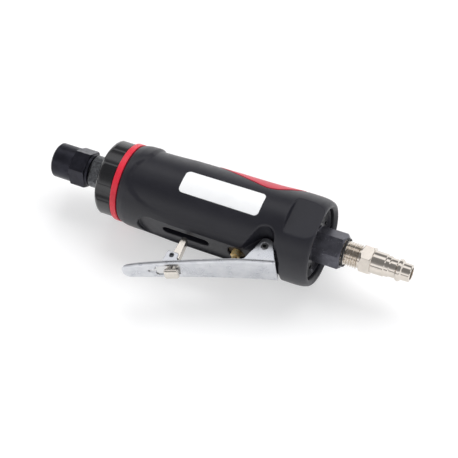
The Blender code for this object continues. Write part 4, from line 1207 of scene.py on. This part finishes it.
# ------------------------------------------------------------------ exhaust cover
COVER = [
    (151.6, 8.3), (151.6, 19.2, 0.2), (154.6, 19.2, 0.3), (154.6, 18.0, 0.3),
    (153.2, 17.2, 0.3), (153.2, 11.6, 0.3), (153.9, 11.0, 0.3), (153.9, 8.3),
]
COVER_HOLES = 12
HOLE_CIRCLE = 14.4  # radius
cover_mesh = lathe("exhaust_cover_pierced", soften(COVER, corner=0.1, steps=4, closed=True),
                   steps=180)
holes = []
for k in range(COVER_HOLES):
    turn = math.radians(360 // COVER_HOLES * k + 8)
    place = (0, -HOLE_CIRCLE * math.cos(turn), HOLE_CIRCLE * math.sin(turn))
    holes.append(rod_cutter(radius=1.15, low=150.0, high=156.0, steps=24, at=place))
finish("exhaust_cover_pierced", drill(cover_mesh, holes), "cover", "exhaust_cover",
       weld=False)


# ------------------------------------------------------------------ air plug
def plug_shape(station, angle, radius):
    """A thread that fades at both ends, and a hexagon behind it."""
    ridge = thread_ridge(station, angle, start=170.3, pitch=1.337)
    fade = smooth_step(159.0, 160.2, station) * smooth_step(178.9, 178.0, station)
    thread = 5.72 + 0.86 * np.clip(1.25 * ridge - 0.1, 0, 1)
    threaded = (station > 159.0) & (station < 178.9) & (radius > 5.5)
    radius = np.where(threaded, 5.75 + (thread - 5.75) * fade, radius)
    flats = soft_min(radius, hex_radius(angle, across_flats=14.0, corner=0), 0.2)
    hexagon = (station > 179.65) & (station < 185.65) & (radius > 6.3)
    return np.where(hexagon, flats, radius)


def plug_step(station, radius):
    """Fine along the thread, medium along the hexagon, coarse elsewhere."""
    if 159 < station < 179 and radius > 5:
        return 0.13
    return 0.25 if radius > 5.9 and station < 186 else 3.0


PLUG = [
    (158.8, 3.3), (158.8, 5.5, 0.2), (159.2, 5.75), (178.9, 5.9), (179.5, 5.9, 0.2),
    (179.6, 7.0, 0.2), (180.5, 8.1, 0.3), (184.9, 8.1, 0.3), (185.7, 7.1, 0.2),
    (185.75, 6.1, 0.2), (192.4, 6.1, 0.3), (192.9, 5.6, 0.2), (194.8, 5.6, 0.2),
    (195.4, 5.1, 0.4), (198.6, 5.1, 0.5), (199.4, 5.8, 0.4), (200.4, 6.05, 0.6),
    (201.3, 5.6, 0.4), (201.9, 4.75, 0.3), (206.0, 4.65, 0.3), (206.5, 4.2, 0.2),
    (206.5, 3.3, 0.15),
]
plug_profile = dense(
    soften(PLUG, corner=0.1, steps=5, closed=True), step=plug_step, closed=True)
finish("air_plug_nickel", lathe("air_plug_nickel", plug_profile, steps=144, shape=plug_shape),
       "nickel", "air_plug", sharp=38)

# the O-ring, slightly flattened
oring_profile = [
    (170.65 + 0.55 * math.cos(turn), 7.35 + 0.44 * math.sin(turn))
    for turn in np.linspace(0, 2 * math.pi, 17)[:-1]]
finish("inlet_oring_round", lathe("inlet_oring_round", oring_profile, steps=96), "rubber",
       "inlet_oring")


# ------------------------------------------------------------------ the CAD nodes
# every node not listed is ground steel, but for the vanes
NODE_SLOTS = {
    "motor_cylinder": "cast_iron", "front_end_plate": "cast_iron", "rear_end_plate": "cast_iron",
    "bearing_clamp_ring": "aluminium", "motor_sleeve": "aluminium",
    "dust_seal": "felt", "muffler_felt": "felt",
    "inlet_screen": "brass", "valve_bush": "brass",
    "valve_stem_oring": "rubber", "valve_poppet": "rubber", "inlet_oring": "rubber",
}
for name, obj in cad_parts.items():
    slot = "phenolic" if name.startswith("vane_") else NODE_SLOTS.get(name, "ground_steel")
    obj.data.materials.clear()
    obj.data.materials.append(LOOKS[slot])
    if not obj.hide_render:
        obj.data.shade_smooth()
        obj.data.set_sharp_from_angle(angle=math.radians(35))
        bevel = obj.modifiers.new("Broken edges", "BEVEL")
        bevel.width = 0.08 * MM
        bevel.segments = 2
        bevel.limit_method = "ANGLE"
        bevel.angle_limit = math.radians(50)
        bevel.use_clamp_overlap = True


# ------------------------------------------------------------------ floor
# From here on, lengths are metres in the frame of the CAD.
def studio_floor():
    bpy.ops.mesh.primitive_plane_add(size=9.0, location=(0, 0, float(cad_low[2]) - 0.0001))
    plane = bpy.context.object
    plane.name = "studio_floor"
    mat = Material("Studio_white")
    tone = mat.remap(mat.noise(size=300, detail=2, rough=0.5))
    mat.set(color=mat.mix(tone, (0.60, 0.60, 0.605), (0.62, 0.62, 0.62)), rough=0.65, spec=0.15)
    mat.bsdf.inputs["Emission Color"].default_value = (1.0, 1.0, 1.0, 1.0)
    mat.bsdf.inputs["Emission Strength"].default_value = 0.42
    plane.data.materials.append(mat.data)
    return plane


floor = studio_floor()
scene = bpy.context.scene


# ------------------------------------------------------------------ world
# A white tent as one band, from the lever side (0) over the top (0.5) to the
# far side (1): (share of the way, brightness)
TENT = [
    (0.0, 0.86), (0.035, 0.80), (0.065, 0.24), (0.095, 0.24), (0.125, 1.0), (0.19, 0.92),
    (0.25, 0.32), (0.34, 0.20), (0.50, 0.20), (0.59, 0.26), (0.62, 1.0), (0.73, 1.0),
    (0.78, 0.22), (0.91, 0.20), (0.96, 0.78), (1.0, 0.86),
]


def studio_world():
    studio = bpy.data.worlds.new("Studio")
    studio.use_nodes = True
    graph = Graph(studio.node_tree)
    graph.tree.nodes.clear()
    place = graph.add("ShaderNodeTexCoord").outputs["Generated"]
    axes = graph.add("ShaderNodeSeparateXYZ", {0: place}).outputs
    angle = graph.calc("ARCTAN2", axes["Z"], graph.times(axes["Y"], -1.0))
    ramp = graph.add("ShaderNodeValToRGB", {0: graph.calc("DIVIDE", angle, math.pi)})
    for share, _ in TENT[1:-1]:
        ramp.color_ramp.elements.new(share)
    for element, (share, level) in zip(ramp.color_ramp.elements, TENT):
        element.position = share
        element.color = (level * 0.985, level * 0.985, level, 1)
    tent = graph.add("ShaderNodeBackground", {"Color": ramp.outputs[0], "Strength": 1.3})
    # the camera itself sees a plain background
    plain = graph.add("ShaderNodeBackground", {"Color": (0.97, 0.97, 0.98, 1), "Strength": 1.0})
    to_camera = graph.add("ShaderNodeLightPath").outputs["Is Camera Ray"]
    mixer = graph.add("ShaderNodeMixShader", {0: to_camera, 1: tent.outputs[0], 2: plain.outputs[0]})
    graph.add("ShaderNodeOutputWorld", {0: mixer.outputs[0]})
    return studio


scene.world = studio_world()


# ------------------------------------------------------------------ lights
def area_light(name, at, size, size_y, power, color):
    """A rectangular light aimed at the origin, not seen in reflections."""
    data = bpy.data.lights.new(name, "AREA")
    data.energy = power
    data.color = color
    data.shape = "RECTANGLE"
    data.size = size
    data.size_y = size_y
    obj = bpy.data.objects.new(name, data)
    obj.location = at
    obj.rotation_euler = (-Vector(at)).to_track_quat("-Z", "Y").to_euler()
    obj.visible_glossy = False
    scene.collection.objects.link(obj)
    return obj


FILL = {"size": 1.0, "size_y": 1.0, "power": 5.0, "color": (0.98, 0.99, 1.0)}
lights = [
    area_light("key_softbox", at=(0.15, 0.95, 1.15), size=1.6, size_y=1.0, power=16.0,
               color=(1.0, 0.997, 0.99)),
    area_light("side_fill", at=(1.3, -0.3, 0.7), **FILL),
    area_light("left_fill", at=(-1.3, -0.2, 0.7), **FILL),
]


# ------------------------------------------------------------------ camera
def studio_camera(eye, aim, up, lens):
    data = bpy.data.cameras.new("Camera")
    data.lens = lens
    data.sensor_width = 36.0
    data.clip_start = 0.01
    data.clip_end = 50.0
    obj = bpy.data.objects.new("Camera", data)
    scene.collection.objects.link(obj)
    back = (eye - aim).normalized()
    up = (up - back * up.dot(back)).normalized()
    right = up.cross(back)
    rows = [(right[i], up[i], back[i], eye[i]) for i in range(3)]
    obj.matrix_world = Matrix((*rows, (0, 0, 0, 1)))
    return obj


scene.camera = studio_camera(
    eye=Vector((0.2138, -0.2985, 0.5878)), aim=Vector((0.0029, 0.00835, -0.005)),
    up=Vector((-0.2942, 0.7948, 0.5309)), lens=102.7)
scene.view_settings.view_transform = "Standard"
scene.view_settings.look = "None"
scene.view_settings.exposure = 0.0
